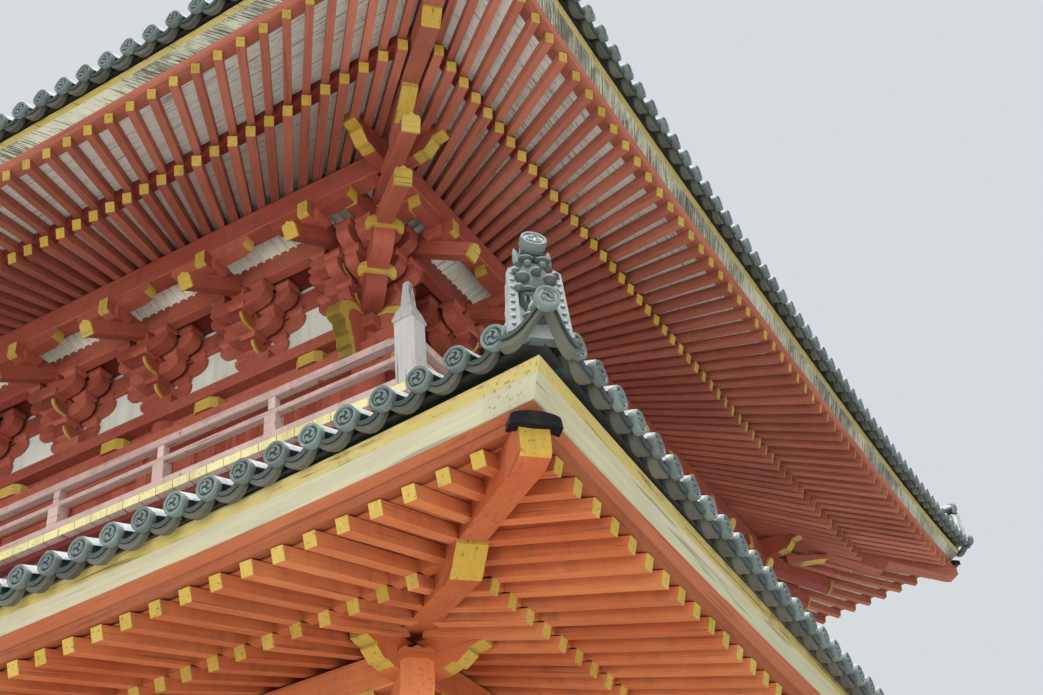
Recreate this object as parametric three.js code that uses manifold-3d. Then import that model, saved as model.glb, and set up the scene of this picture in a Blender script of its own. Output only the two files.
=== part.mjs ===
import * as THREE from 'three';
import { mergeVertices } from 'three/addons/utils/BufferGeometryUtils.js';
import Module from 'manifold-3d';

// A two-storey square pagoda, in millimetres, Z up, origin at the middle of its base on the ground.
const wasm = await Module();
wasm.setup();

// Driving dimensions. A "half" is measured from the middle of the tower to one side.
const seatGap = 0.3;
const overlap = 10; // how far joined solids run into each other
const platform = { half: 5700, height: 900, edgeHeight: 160, edgeReach: 60 };
const steps = { width: 2400, count: 5, going: 300, cheekWidth: 220, cheekReach: 120, cheekFoot: 140 };
const lowerStorey = {
  name: 'lower', half: 4050, floor: 900, plate: 5350, columnRadius: 210, plateHeight: 150,
  footSize: 620, footHeight: 60, sillHeight: 330, headDrop: 560, windowRise: 700,
};
const upperStorey = {
  name: 'upper', half: 3720, floor: 8740, plate: 10770, columnRadius: 165, plateHeight: 140,
  footSize: 0, footHeight: 0, sillHeight: 210, headDrop: 350, windowRise: 330,
};
const wallThickness = 90;
const plateReach = { inner: 170, outer: 210 };
const rail = { reach: 70, headHeight: 150 };
const tie = { half: 70, height: 260 };
const doorway = { side: 110, stileHalf: 60, stileDepth: 20, clear: 5, leafInset: 12 };
const windowGap = { side: 190, head: 90 };
const lowerEave = {
  name: 'lower', wallHalf: 4050, purlinHalf: 4690, baseHalf: 5740, flyHalf: 6970, tileHalf: 7360,
  flyHeight: 6150, baseHeight: 6396, discHeight: 6444,
  rafterLift: 155, boardLift: 230, tileLift: 384, topHalf: 4185, topHeight: 8120,
};
const upperEave = {
  name: 'upper', wallHalf: 3720, purlinHalf: 4570, baseHalf: 5740, flyHalf: 6620, tileHalf: 7010,
  flyHeight: 11470, baseHeight: 11650, discHeight: 11815,
  rafterLift: 320, boardLift: 380, tileLift: 450, topHalf: 300, topHeight: 16180,
};
const rafterDepth = 105;
const baseSlope = 0.36;
const flySlope = 0.3;
const hip = { width: 170, depth: 150, baseReach: 190, flyReach: 70 };
const boardReach = 230;
const boardRise = 233;
const roofThickness = 150;
const tileBed = 10; // the tile surface lies this far below the middle of the round end tiles
const coverRow = { width: 150, rise: 66, sunk: 45, spacing: 1250, hipClear: 260, topClear: 120, step: 2400 };
const ridge = {
  width: 230, rise: 250, bed: 60, footBack: 150, tipDrop: 60,
  plateWidth: 420, plateBack: 90, plateFront: 30, plateDrop: 40,
  plateRise: 490, barRadius: 78, barLength: 620, barRise: 530, barBack: 60, barTilt: 0.55,
};
const liftSpan = 3600;
const purlin = { width: 210, height: 330, overrun: 380 };
const balcony = { half: 5090, floorTop: 8740, floorDepth: 80, postHalf: 4990, postWidth: 194 };
const waist = { outer: 4120, inner: 4000, armDepth: 150, armHalf: 60, armEnd: 230, hipHalf: 70 };
const waistBeam = { outer: 300, inner: 420, depth: 60 };
const railing = {
  low: { half: 62, bottom: 30, top: 110 }, flat: { half: 42, bottom: 330, top: 380 },
  hand: { half: 48, bottom: 500, top: 590 }, postHalf: 60, postTop: 520, cornerTop: 640, capHeight: 460,
};
const finial = {
  base: 16180, height: 5650, boxHalf: 430, boxHeight: 330, boxBed: 130, capReach: 60, capDepth: 50,
  mast: 60, rings: 9, ringStart: 620, ringStep: 330, ringRadius: 400, ringTaper: 22,
};
const bracket = {
  width: 130, crossHalf: 420, armDepth: 150, back: 120, front: 190,
  tipReach: 100, stepShare: 0.6, purlinReach: 60,
};
const cornerArm = { width: 150, back: 120, foot: 250, tipReach: 160, tipDepth: 220 };
const wallBeam = { half: 60, topDrop: 40 };
const perSide = 8;
const zAxis = new THREE.Vector3(0, 0, 1);
// Turns an outline drawn in X and Y into one in Y and Z, extruded along X.
const standUp = new THREE.Matrix4().makeBasis(
  new THREE.Vector3(0, 1, 0), new THREE.Vector3(0, 0, 1), new THREE.Vector3(1, 0, 0));

const vermilion = new THREE.Color(0xb5523a);
const darkRed = new THREE.Color(0x8e3c2c);
const cream = new THREE.Color(0xd4cfa6);
const tileGrey = new THREE.Color(0x66736e);
const stone = new THREE.Color(0x9b978c);
const paleWood = new THREE.Color(0xcdb0a4);
const bronze = new THREE.Color(0x4f6a5c);

const pagoda = new THREE.Group();

// A geometry as a solid, and a solid as a geometry.
function solid(geometry) {
  const plain = geometry.clone();
  plain.deleteAttribute('normal');
  plain.deleteAttribute('uv');
  const merged = mergeVertices(plain, 0.001);
  const corners = [];
  for (let i = 0; i < merged.index.count; i += 3) {
    const [a, b, c] = [merged.index.getX(i), merged.index.getX(i + 1), merged.index.getX(i + 2)];
    if (a !== b && b !== c && a !== c) corners.push(a, b, c);
  }
  const vertProperties = merged.attributes.position.array;
  const asBody = () => new wasm.Manifold(new wasm.Mesh({
    numProp: 3, vertProperties, triVerts: new Uint32Array(corners),
  }));
  const body = asBody();
  if (body.volume() > 0) return body;
  for (let i = 0; i < corners.length; i += 3) {
    [corners[i], corners[i + 1]] = [corners[i + 1], corners[i]];
  }
  return asBody();
}

function addPart(name, body, color, roughness = 0.7, metalness = 0) {
  const mesh = body.getMesh();
  const geometry = new THREE.BufferGeometry();
  geometry.setAttribute('position', new THREE.BufferAttribute(mesh.vertProperties, 3));
  geometry.setIndex(new THREE.BufferAttribute(mesh.triVerts, 1));
  const part = new THREE.Mesh(geometry, new THREE.MeshStandardMaterial({ color, roughness, metalness }));
  part.name = name;
  pagoda.add(part);
}

function box(x0, x1, y0, y1, z0, z1) {
  const geometry = new THREE.BoxGeometry(x1 - x0, y1 - y0, z1 - z0);
  geometry.translate((x0 + x1) / 2, (y0 + y1) / 2, (z0 + z1) / 2);
  return solid(geometry);
}

function upright(x, y, z0, z1, radius, sides = 12) {
  const geometry = new THREE.CylinderGeometry(radius, radius, z1 - z0, sides);
  geometry.rotateX(Math.PI / 2);
  geometry.translate(x, y, (z0 + z1) / 2);
  return solid(geometry);
}

// A level slab whose plan is an outline, from z0 to z1.
function slab(outline, z0, z1) {
  const shape = new THREE.Shape(outline.map(([x, y]) => new THREE.Vector2(x, y)));
  const geometry = new THREE.ExtrudeGeometry(shape, { depth: z1 - z0, bevelEnabled: false });
  geometry.translate(0, 0, z0);
  return solid(geometry);
}

// One side of a square ring on the front, with mitred ends that stay clear of the next side.
function sideBeam(inner, outer, z0, z1) {
  const clear = seatGap;
  return slab([
    [-inner + clear, -inner], [inner - clear, -inner], [outer - clear, -outer], [-outer + clear, -outer],
  ], z0, z1);
}

// A ring of square plan from a closed profile of [half, height, lift] points. The lift raises its corners.
function squareRing(profile) {
  const closed = [...profile, profile[0]];
  const section = closed.map(([half, height]) => new THREE.Vector2(half, height));
  const geometry = new THREE.LatheGeometry(section, perSide * 4);
  const position = geometry.attributes.position;
  for (let i = 0; i < position.count; i += 1) {
    const segment = Math.floor(i / closed.length) % (perSide * 4);
    const side = Math.floor(segment / perSide);
    const along = 2 * (segment % perSide) / perSide - 1;
    const [half, height, lift] = closed[i % closed.length];
    const spot = new THREE.Vector3(along * half, -half, height + lift * Math.abs(along) ** 3);
    spot.applyAxisAngle(zAxis, side * Math.PI / 2);
    position.setXYZ(i, spot.x, spot.y, spot.z);
  }
  return solid(geometry);
}

function plainRing(inner, outer, z0, z1) {
  const ring = box(-outer, outer, -outer, outer, z0, z1);
  return ring.subtract(box(-inner, inner, -inner, inner, z0 - 10, z1 + 10));
}

function joined(bodies) {
  return bodies.reduce((sum, body) => sum.add(body));
}

function turned(body, quarter) {
  return body.rotate([0, 0, 90 * quarter]);
}

// The upper body with its underside cut to what it rests on.
function seated(upper, lower) {
  return upper.subtract(lower.translate([0, 0, seatGap]));
}

const sideNames = ['front', 'right', 'back', 'left'];
const cornerNames = ['front_right', 'back_right', 'back_left', 'front_left'];

// The stone platform with a square stone under each lower column, and its stairs
function makePlatform() {
  const { half, height, edgeHeight, edgeReach } = platform;
  const core = box(-half, half, -half, half, 0, height - edgeHeight);
  const edge = half + edgeReach;
  const cap = box(-edge, edge, -edge, edge, height - edgeHeight, height);
  const plinth = box(-edge, edge, -edge, edge, 0, edgeHeight);
  const foot = lowerStorey.footSize / 2;
  const top = height + lowerStorey.footHeight;
  const feet = columnSpots(lowerStorey).map(
    ({ x, y }) => box(x - foot, x + foot, y - foot, y + foot, height - overlap, top));
  addPart('stone_platform', joined([core, cap, plinth, ...feet]), stone, 0.9);
}

function makeSteps() {
  const rise = platform.height / (steps.count + 1);
  const near = platform.half + platform.edgeReach;
  const far = near + steps.going * steps.count + steps.cheekReach;
  const flight = [];
  for (let i = 0; i < steps.count; i += 1) {
    const reach = near + steps.going * (steps.count - i);
    flight.push(box(-steps.width / 2, steps.width / 2, -reach, -near, 0, rise * (i + 1)));
  }
  const stringer = new THREE.Shape([
    new THREE.Vector2(-near, 0), new THREE.Vector2(-far, 0),
    new THREE.Vector2(-far, steps.cheekFoot), new THREE.Vector2(-near, platform.height),
  ]);
  const sideStone = new THREE.ExtrudeGeometry(stringer, { depth: steps.cheekWidth, bevelEnabled: false });
  sideStone.applyMatrix4(standUp);
  const cheeks = [steps.width / 2, -steps.width / 2 - steps.cheekWidth].map(
    (x) => solid(sideStone.clone().translate(x, 0, 0)));
  const stair = joined([...flight, ...cheeks]);
  sideNames.forEach((side, quarter) => addPart(`${side}_steps`, turned(stair, quarter), stone, 0.9));
}

// A storey's columns with the plate on their heads
function columnSpots(storey) {
  const bay = storey.half * 2 / 3;
  const spots = [];
  for (let side = 0; side < 4; side += 1) {
    for (let i = 0; i < 3; i += 1) {
      const spot = new THREE.Vector3(-storey.half + i * bay, -storey.half, 0);
      spot.applyAxisAngle(zAxis, side * Math.PI / 2);
      spots.push(spot);
    }
  }
  return spots;
}

function makeFrame(storey) {
  const top = storey.plate - storey.plateHeight;
  const bottom = storey.floor + storey.footHeight + seatGap;
  const [inner, outer] = [storey.half - plateReach.inner, storey.half + plateReach.outer];
  const columns = columnSpots(storey).map(
    ({ x, y }) => upright(x, y, bottom, top + overlap, storey.columnRadius));
  const plate = plainRing(inner, outer, top, storey.plate);
  addPart(`${storey.name}_columns`, joined([plate, ...columns]), darkRed);
}

// A storey's wall on one side: panels between the columns, rails across them, a doorway and two windows
function makeWalls(storey) {
  const { half, columnRadius: radius } = storey;
  const floor = storey.floor + storey.footHeight + seatGap;
  const top = storey.plate - storey.plateHeight;
  const bay = half * 2 / 3;
  const inner = half - wallThickness / 2;
  const outer = half + wallThickness / 2;
  const railOuter = half + radius + rail.reach;
  const head = top - storey.headDrop;
  const sill = floor + storey.sillHeight;
  const doorHalf = bay / 2 - radius - doorway.side;
  const windowHalf = bay / 2 - radius - windowGap.side;
  const panel = box(-half, half, -outer, -inner, floor, top - seatGap);
  const beams = [[floor, sill], [head, head + rail.headHeight]].map(
    ([z0, z1]) => sideBeam(inner, railOuter, z0, z1));
  const tieBeam = sideBeam(half - tie.half, half + tie.half, top - tie.height, top - seatGap);
  let wall = joined([panel, ...beams, tieBeam]);
  wall = wall.subtract(box(-doorHalf, doorHalf, -2 * half, -inner + overlap, sill, head));
  [-bay, bay].forEach((x) => {
    const [low, high] = [sill + storey.windowRise, head - windowGap.head];
    wall = wall.subtract(box(x - windowHalf, x + windowHalf, -2 * half, -inner + overlap, low, high));
  });
  columnSpots(storey).forEach(({ x, y }) => {
    wall = wall.subtract(upright(x, y, floor - overlap, top + overlap, radius + seatGap));
  });
  const { clear, leafInset, stileHalf, stileDepth } = doorway;
  const leafHalf = doorHalf - clear;
  const leafTop = head - clear;
  const leaf = box(-leafHalf, leafHalf, -outer + leafInset, -inner - leafInset, sill, leafTop);
  const stile = box(-stileHalf, stileHalf, -outer - stileDepth, -outer + stileDepth, sill, leafTop);
  const leaves = leaf.add(stile);
  const wallColor = storey === lowerStorey ? vermilion : darkRed;
  sideNames.forEach((side, quarter) => {
    addPart(`${side}_${storey.name}_wall`, turned(wall, quarter), wallColor);
    addPart(`${side}_${storey.name}_door`, turned(leaves, quarter), darkRed);
  });
}

// One bracket set on the front: a stepped arm that reaches out to the purlin, with a cross arm under it
function bracketSet(eave, plate, reaches) {
  const { wallHalf, purlinHalf } = eave;
  const under = purlinUnder(eave);
  const step = (under - plate) / (reaches.length + 1);
  const outline = [[-bracket.back, plate], [bracket.front, plate]];
  reaches.forEach((reach, tier) => {
    const z = plate + step * (tier + bracket.stepShare);
    outline.push([outline[outline.length - 1][0], z], [reach + bracket.tipReach, z]);
  });
  outline.push([purlinHalf - wallHalf + bracket.purlinReach, under], [-bracket.back, under]);
  const shape = new THREE.Shape(outline.map(([out, z]) => new THREE.Vector2(-wallHalf - out, z)));
  const geometry = new THREE.ExtrudeGeometry(shape, { depth: bracket.width, bevelEnabled: false });
  geometry.translate(0, 0, -bracket.width / 2);
  geometry.applyMatrix4(standUp);
  const half = bracket.width / 2;
  const at = -wallHalf - reaches[reaches.length - 1];
  const { crossHalf, armDepth } = bracket;
  const crossArm = box(-crossHalf, crossHalf, at - half, at + half, under - armDepth, under);
  return solid(geometry).add(crossArm);
}

function purlinUnder(eave) {
  return purlinTop(eave) - purlin.height;
}

function purlinTop(eave) {
  const out = eave.baseHalf - eave.purlinHalf - purlin.width / 2;
  return eave.baseHeight - rafterDepth / 2 + out * baseSlope - seatGap;
}

function makeBrackets(eave, storey, reaches) {
  const { wallHalf, purlinHalf } = eave;
  const { plate } = storey;
  const top = purlinTop(eave);
  const under = purlinUnder(eave);
  const set = bracketSet(eave, plate, reaches);
  const spacing = storey.half / 3;
  const side = [-2, -1, 0, 1, 2].map((i) => set.translate([i * spacing, 0, 0]));
  const wallBeamTop = top + (purlinHalf - wallHalf) * baseSlope - wallBeam.topDrop;
  const beamEnd = wallHalf + wallBeam.half;
  const half = purlin.width / 2;
  const [purlinEnd, noseEnd] = [purlinHalf + half, purlinHalf + purlin.overrun];
  side.push(box(-beamEnd, beamEnd, -beamEnd, -wallHalf + wallBeam.half, plate, wallBeamTop));
  side.push(box(-purlinEnd, purlinEnd, -purlinHalf - half, -purlinHalf + half, under, top));
  const armHalf = bracket.width / 2;
  const noseBottom = under - bracket.armDepth;
  side.push(box(-noseEnd, noseEnd, -purlinHalf - armHalf, -purlinHalf + armHalf, noseBottom, under));
  const corner = cornerSet(eave, storey, set);
  const quarters = [0, 1, 2, 3].map((quarter) => turned(joined([...side, corner]), quarter));
  const ring = joined(quarters);
  addPart(`${eave.name}_brackets`, ring, darkRed);
  return ring;
}

// The bracket set on the front right corner column, square to both sides and along the diagonal
function cornerSet(eave, storey, set) {
  const { wallHalf, purlinHalf } = eave;
  const front = set.translate([wallHalf, 0, 0]);
  const right = turned(set, 1).translate([0, -wallHalf, 0]);
  const under = purlinUnder(eave);
  const { width, back, foot, tipReach, tipDepth } = cornerArm;
  const reach = (purlinHalf - wallHalf + tipReach) * Math.SQRT2;
  const outline = [
    [back, storey.plate], [-foot, storey.plate], [-reach, under - tipDepth],
    [-reach, under + overlap], [back, under + overlap],
  ];
  const shape = new THREE.Shape(outline.map(([out, z]) => new THREE.Vector2(out, z)));
  const geometry = new THREE.ExtrudeGeometry(shape, { depth: width, bevelEnabled: false });
  geometry.translate(0, 0, -width / 2);
  geometry.applyMatrix4(standUp);
  const arm = solid(geometry).rotate([0, 0, 45]).translate([wallHalf, -wallHalf, 0]);
  return joined([front, right, arm]);
}

// The two tiers of rafters as one stepped soffit with a hip rafter under each corner
function makeSoffit(eave) {
  const half = rafterDepth / 2;
  const { baseHalf, flyHalf, purlinHalf, rafterLift, baseHeight, flyHeight } = eave;
  const liftAt = (at) => rafterLift * Math.max(0, (at - purlinHalf) / (flyHalf - purlinHalf));
  const inner = eave.wallHalf + 75;
  const innerRise = (baseHalf - inner) * baseSlope;
  const flyAt = (at) => flyHeight + (flyHalf - at) * flySlope;
  const back = baseHalf - 250;
  const seat = purlinHalf + purlin.width / 2;
  const profile = [
    [inner, baseHeight - half + innerRise, 0],
    [seat, baseHeight - half + (baseHalf - seat) * baseSlope, 0],
    [baseHalf, baseHeight - half, liftAt(baseHalf)],
    [baseHalf, flyAt(baseHalf) - half, liftAt(baseHalf)],
    [flyHalf, flyHeight - half, rafterLift],
    [flyHalf, flyHeight + half, rafterLift],
    [back, flyAt(back) + half, liftAt(back)],
    [inner, baseHeight + half + innerRise + 60, 0],
  ];
  const soffit = squareRing(profile).add(hipRafters(eave, liftAt));
  addPart(`${eave.name}_rafters`, soffit, vermilion);
}

// The hip rafters under the four corners, each in two tiers
function hipRafters(eave, liftAt) {
  const { width, baseReach, flyReach, depth } = hip;
  const { baseHalf, flyHalf, baseHeight, flyHeight, rafterLift } = eave;
  const start = eave.purlinHalf + purlin.width / 2 + 130;
  const base = baseHeight + liftAt(baseHalf);
  const fly = flyHeight + rafterLift;
  const outline = [
    [start, base + 250], [start, base + 40], [baseHalf + baseReach, base - depth - 10],
    [baseHalf + baseReach, base - 10], [flyHalf + flyReach, fly - depth], [flyHalf + flyReach, fly - 8],
    [baseHalf + baseReach, base + 80],
  ];
  const shape = new THREE.Shape(outline.map(([half, z]) => new THREE.Vector2(half * Math.SQRT2, z)));
  const geometry = new THREE.ExtrudeGeometry(shape, { depth: width, bevelEnabled: false });
  geometry.translate(0, 0, -width / 2);
  geometry.rotateX(Math.PI / 2);
  const one = solid(geometry).rotate([0, 0, 45]);
  return joined([0, 1, 2, 3].map((quarter) => turned(one, quarter)));
}

// The beam on the flying rafter ends and the pale board under the tiles
function makeEaveBoard(eave) {
  const { flyHalf, rafterLift, boardLift } = eave;
  const z0 = eave.flyHeight + rafterDepth / 2 + seatGap;
  addPart(`${eave.name}_eave_board`, squareRing([
    [flyHalf - 130, z0 + 130 * flySlope + 8, rafterLift], [flyHalf, z0, rafterLift],
    [flyHalf + 40, z0, rafterLift], [flyHalf + 60, z0 + 78, rafterLift],
    [flyHalf + 130, z0 + 85, (rafterLift + boardLift) / 2],
    [flyHalf + boardReach, z0 + boardRise, boardLift],
    [flyHalf - 130, z0 + boardRise + 20, boardLift],
  ]), cream);
}

// The curved tile surface: its height at a distance from the middle, and its corner lift there
function roofCurve(eave) {
  const eaveTop = eave.discHeight - tileBed;
  const span = eave.tileHalf - eave.topHalf;
  return {
    height: (half) => {
      const share = (eave.tileHalf - half) / span;
      return eaveTop + (eave.topHeight - eaveTop) * (0.72 * share + 0.28 * share * share);
    },
    lift: (half) => eave.tileLift * Math.max(0, 1 - (eave.tileHalf - half) / liftSpan) ** 1.5,
  };
}

// Every fifth row of round cover tiles up one slope, as a rib that follows the tile surface to the hip
function coverRows(eave) {
  const { height, lift } = roofCurve(eave);
  const { width, rise, sunk, spacing, hipClear, topClear, step } = coverRow;
  const count = Math.floor((eave.tileHalf - 2 * hipClear) / spacing);
  const ribs = [];
  for (let i = -count; i <= count; i += 1) {
    const x = i * spacing;
    const top = Math.max(Math.abs(x) + hipClear, eave.topHalf + topClear);
    const parts = Math.max(1, Math.round((eave.tileHalf - top) / step));
    const over = [];
    const under = [];
    for (let j = 0; j <= parts; j += 1) {
      const half = eave.tileHalf - (eave.tileHalf - top) * j / parts;
      const z = height(half) + lift(half) * Math.abs(x / half) ** 3;
      over.push(new THREE.Vector2(-half, z + rise));
      under.push(new THREE.Vector2(-half, z - sunk));
    }
    const outline = new THREE.Shape([...over, ...under.reverse()]);
    const geometry = new THREE.ExtrudeGeometry(outline, { depth: width, bevelEnabled: false });
    geometry.translate(0, 0, x - width / 2);
    geometry.applyMatrix4(standUp);
    ribs.push(solid(geometry));
  }
  return joined(ribs);
}

function makeRoof(eave, rows) {
  const { height, lift } = roofCurve(eave);
  const seat = eave.flyHalf + boardReach;
  const seatHeight = eave.flyHeight + rafterDepth / 2 + boardRise + 2 * seatGap;
  const over = [];
  const under = [];
  for (let i = 0; i <= rows; i += 1) {
    const half = eave.tileHalf - (eave.tileHalf - eave.topHalf) * i / rows;
    over.push([half, height(half), lift(half)]);
    if (i > 0) under.push([half, height(half) - roofThickness, lift(half)]);
  }
  const edge = [[seat, seatHeight, eave.boardLift], [eave.tileHalf - 30, seatHeight - 20, eave.boardLift]];
  const slope = coverRows(eave);
  const ribs = joined([0, 1, 2, 3].map((quarter) => turned(slope, quarter)));
  const roof = squareRing([...over, ...under.reverse(), ...edge]).add(ribs);
  addPart(`${eave.name}_roof`, roof, tileGrey, 0.6);
  return roof;
}

// A hip ridge on each corner, with the upright ornament plate and its round tile at the foot
function makeRidges(eave, body, topHalf) {
  const curve = roofCurve(eave);
  const foot = eave.tileHalf - ridge.footBack;
  const under = [];
  const over = [];
  const count = 6;
  for (let i = 0; i <= count; i += 1) {
    const half = topHalf + (foot - topHalf) * i / count;
    const z = curve.height(half) + curve.lift(half);
    under.push(new THREE.Vector2(half * Math.SQRT2, z - ridge.bed));
    over.push(new THREE.Vector2(half * Math.SQRT2, z + ridge.rise - (i === count ? ridge.tipDrop : 0)));
  }
  const outline = new THREE.Shape([...under, ...over.reverse()]);
  const geometry = new THREE.ExtrudeGeometry(outline, { depth: ridge.width, bevelEnabled: false });
  geometry.translate(0, 0, -ridge.width / 2);
  geometry.rotateX(Math.PI / 2);
  const z = curve.height(foot) + curve.lift(foot);
  const at = foot * Math.SQRT2;
  const side = ridge.plateWidth / 2;
  const [plateFoot, plateTop] = [z - ridge.plateDrop, z + ridge.plateRise];
  const plate = box(at - ridge.plateBack, at + ridge.plateFront, -side, side, plateFoot, plateTop);
  const bar = new THREE.CylinderGeometry(ridge.barRadius, ridge.barRadius, ridge.barLength, 8);
  bar.rotateZ(-Math.PI / 2 + ridge.barTilt);
  bar.translate(at - ridge.barBack, 0, z + ridge.barRise);
  const whole = joined([solid(geometry), plate, solid(bar)]).rotate([0, 0, -45]);
  cornerNames.forEach((corner, quarter) => {
    addPart(`${eave.name}_ridge_${corner}`, seated(turned(whole, quarter), body), tileGrey, 0.6);
  });
}

// The waist between the lower roof and the balcony, the balcony floor and its railing
function makeBalcony(lowerBrackets) {
  const { half, floorTop, floorDepth, postHalf, postWidth } = balcony;
  const waistTop = floorTop - floorDepth;
  const bottom = lowerBrackets.boundingBox().max[2];
  const armEnd = half - waist.armEnd;
  const armBottom = waistTop - waist.armDepth;
  const posts = [-3, -2, -1, 0, 1, 2, 3].map((i) => i * upperStorey.half / 3);
  const arms = posts.map(
    (x) => box(x - waist.armHalf, x + waist.armHalf, -armEnd, -waist.inner, armBottom, waistTop));
  const [beamInner, beamOuter] = [half - waistBeam.inner, half - waistBeam.outer];
  arms.push(sideBeam(beamInner, beamOuter, waistTop - waistBeam.depth, waistTop));
  const side = joined(arms);
  const [hipIn, hipOut] = [waist.inner * Math.SQRT2, (armEnd - overlap) * Math.SQRT2];
  const corner = box(-waist.hipHalf, waist.hipHalf, -hipOut, -hipIn, armBottom, waistTop).rotate([0, 0, 45]);
  const ring = [plainRing(waist.inner, waist.outer, bottom, waistTop)];
  for (let quarter = 0; quarter < 4; quarter += 1) {
    ring.push(turned(side, quarter), turned(corner, quarter));
  }
  addPart('balcony_beams', joined(ring), darkRed);
  addPart('balcony_floor', box(-half, half, -half, half, waistTop, floorTop), paleWood);

  const { low, flat, hand, postHalf: thin, postTop, cornerTop, capHeight } = railing;
  const bars = [low, flat, hand].map(
    (bar) => box(-postHalf, postHalf, -postHalf - bar.half, -postHalf + bar.half,
      floorTop + bar.bottom, floorTop + bar.top));
  const middle = posts.map(
    (x) => box(x - thin, x + thin, -postHalf - thin, -postHalf + thin, floorTop, floorTop + postTop));
  const thick = postWidth / 2;
  const cornerPost = box(-thick, thick, -thick, thick, floorTop, floorTop + cornerTop)
    .add(obelisk(postWidth, floorTop + cornerTop, capHeight)).translate([postHalf, -postHalf, 0]);
  const oneSide = joined([...bars, ...middle, cornerPost]);
  addPart('balcony_rail', joined([0, 1, 2, 3].map((quarter) => turned(oneSide, quarter))), paleWood);
}

// The corner post's cap: a square shoulder that curves in to a blunt spike
function obelisk(width, z0, height) {
  const profile = [
    [0, z0 - 5], [width / 2 - 6, z0 - 5], [width / 2 + 6, z0 + 20], [width / 2 - 8, z0 + height * 0.2],
    [width * 0.28, z0 + height * 0.4], [width * 0.16, z0 + height], [0, z0 + height],
  ];
  const points = profile.map(([radius, height]) => new THREE.Vector2(radius * Math.SQRT2, height));
  const geometry = new THREE.LatheGeometry(points, 4);
  geometry.rotateX(Math.PI / 2);
  geometry.rotateZ(Math.PI / 4);
  return solid(geometry);
}

// The box, bowl, petals, nine rings and jewel on the top of the roof
function makeFinial(roof) {
  const { base, height, boxHalf, boxHeight, boxBed, capReach, capDepth, mast } = finial;
  const start = base + boxHeight;
  const capHalf = boxHalf + capReach;
  const foot = box(-boxHalf, boxHalf, -boxHalf, boxHalf, base - boxBed, start);
  const cap = box(-capHalf, capHalf, -capHalf, capHalf, start - capDepth, start);
  addPart('finial_box', seated(joined([foot, cap]), roof), bronze, 0.5, 0.6);
  const bowl = [
    [0, 0], [330, 0], [330, 60], [300, 190], [200, 290], [120, 330], [300, 420], [310, 450], [mast, 470],
  ];
  const profile = bowl.map(([radius, rise]) => [radius, start + rise]);
  for (let i = 0; i < finial.rings; i += 1) {
    const radius = finial.ringRadius - finial.ringTaper * i;
    const z = start + finial.ringStart + finial.ringStep * i;
    profile.push([mast, z - 40], [radius, z - 12], [radius, z + 38], [mast, z + 66]);
  }
  const vane = start + finial.ringStart + finial.ringStep * finial.rings;
  const crown = [
    [mast, -60], [190, 120], [210, 300], [mast, 560], [mast, 620],
    [140, 700], [mast, 790], [150, 900], [110, 1000],
  ];
  profile.push(...crown.map(([radius, rise]) => [radius, vane + rise]), [0, base + height]);
  const points = profile.map(([radius, z]) => new THREE.Vector2(radius, z));
  const geometry = new THREE.LatheGeometry(points, 10);
  geometry.rotateX(Math.PI / 2);
  addPart('finial', solid(geometry), bronze, 0.5, 0.6);
}

makePlatform();
makeSteps();
makeFrame(lowerStorey);
makeWalls(lowerStorey);
const lowerBrackets = makeBrackets(lowerEave, lowerStorey, [320, 640]);
makeSoffit(lowerEave);
makeEaveBoard(lowerEave);
makeRidges(lowerEave, makeRoof(lowerEave, 3), lowerEave.topHalf + 5);
makeBalcony(lowerBrackets);
makeFrame(upperStorey);
makeWalls(upperStorey);
makeBrackets(upperEave, upperStorey, [280, 560, 850]);
makeSoffit(upperEave);
makeEaveBoard(upperEave);
const upperRoof = makeRoof(upperEave, 4);
makeRidges(upperEave, upperRoof, 520);
makeFinial(upperRoof);

export default pagoda;
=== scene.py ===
# A two-storey square pagoda, dressed in metres round its frame, Z up, front towards -Y.
import math
import random

import bmesh
import bpy
from mathutils import Euler, Matrix, Vector


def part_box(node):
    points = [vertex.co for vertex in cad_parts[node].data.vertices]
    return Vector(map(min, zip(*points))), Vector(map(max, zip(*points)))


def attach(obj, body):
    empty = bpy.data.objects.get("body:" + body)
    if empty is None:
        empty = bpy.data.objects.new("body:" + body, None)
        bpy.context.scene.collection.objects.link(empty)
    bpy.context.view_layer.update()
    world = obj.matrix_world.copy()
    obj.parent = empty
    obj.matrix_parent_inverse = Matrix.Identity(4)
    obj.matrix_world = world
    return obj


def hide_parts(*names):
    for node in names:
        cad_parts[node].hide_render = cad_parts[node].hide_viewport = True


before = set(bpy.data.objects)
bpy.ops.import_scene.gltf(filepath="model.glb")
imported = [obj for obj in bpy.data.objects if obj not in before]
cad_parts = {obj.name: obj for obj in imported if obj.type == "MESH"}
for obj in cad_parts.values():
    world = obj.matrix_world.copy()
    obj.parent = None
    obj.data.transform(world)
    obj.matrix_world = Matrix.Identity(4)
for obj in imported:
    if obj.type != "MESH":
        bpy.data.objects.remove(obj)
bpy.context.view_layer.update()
print("frame loaded", len(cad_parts), "nodes")

sides = ("front", "right", "back", "left")
upAxis = Vector((0, 0, 1))
root2 = math.sqrt(2)


# Small tools for node trees

class Wire:  # a node's output that sums are written with, each step a Math node
    def __init__(self, tree, socket):
        self.tree, self.socket = tree, socket

    def __add__(self, other):
        return calc("ADD", self, other)

    def __radd__(self, other):
        return calc("ADD", other, self)

    def __sub__(self, other):
        return calc("SUBTRACT", self, other)

    def __rsub__(self, other):
        return calc("SUBTRACT", other, self)

    def __mul__(self, other):
        return calc("MULTIPLY", self, other)

    def __truediv__(self, other):
        return calc("DIVIDE", self, other)

    def __pow__(self, other):
        return calc("POWER", self, other)

    def __neg__(self):
        return self * -1.0

    def __abs__(self):
        return calc("ABSOLUTE", self)


def treeOf(values):
    return next(value.tree for value in values if isinstance(value, Wire))


def live(sockets, name):  # the one of several sockets of that name which is in use
    return next(s for s in sockets if s.name == name and s.enabled)


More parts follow.
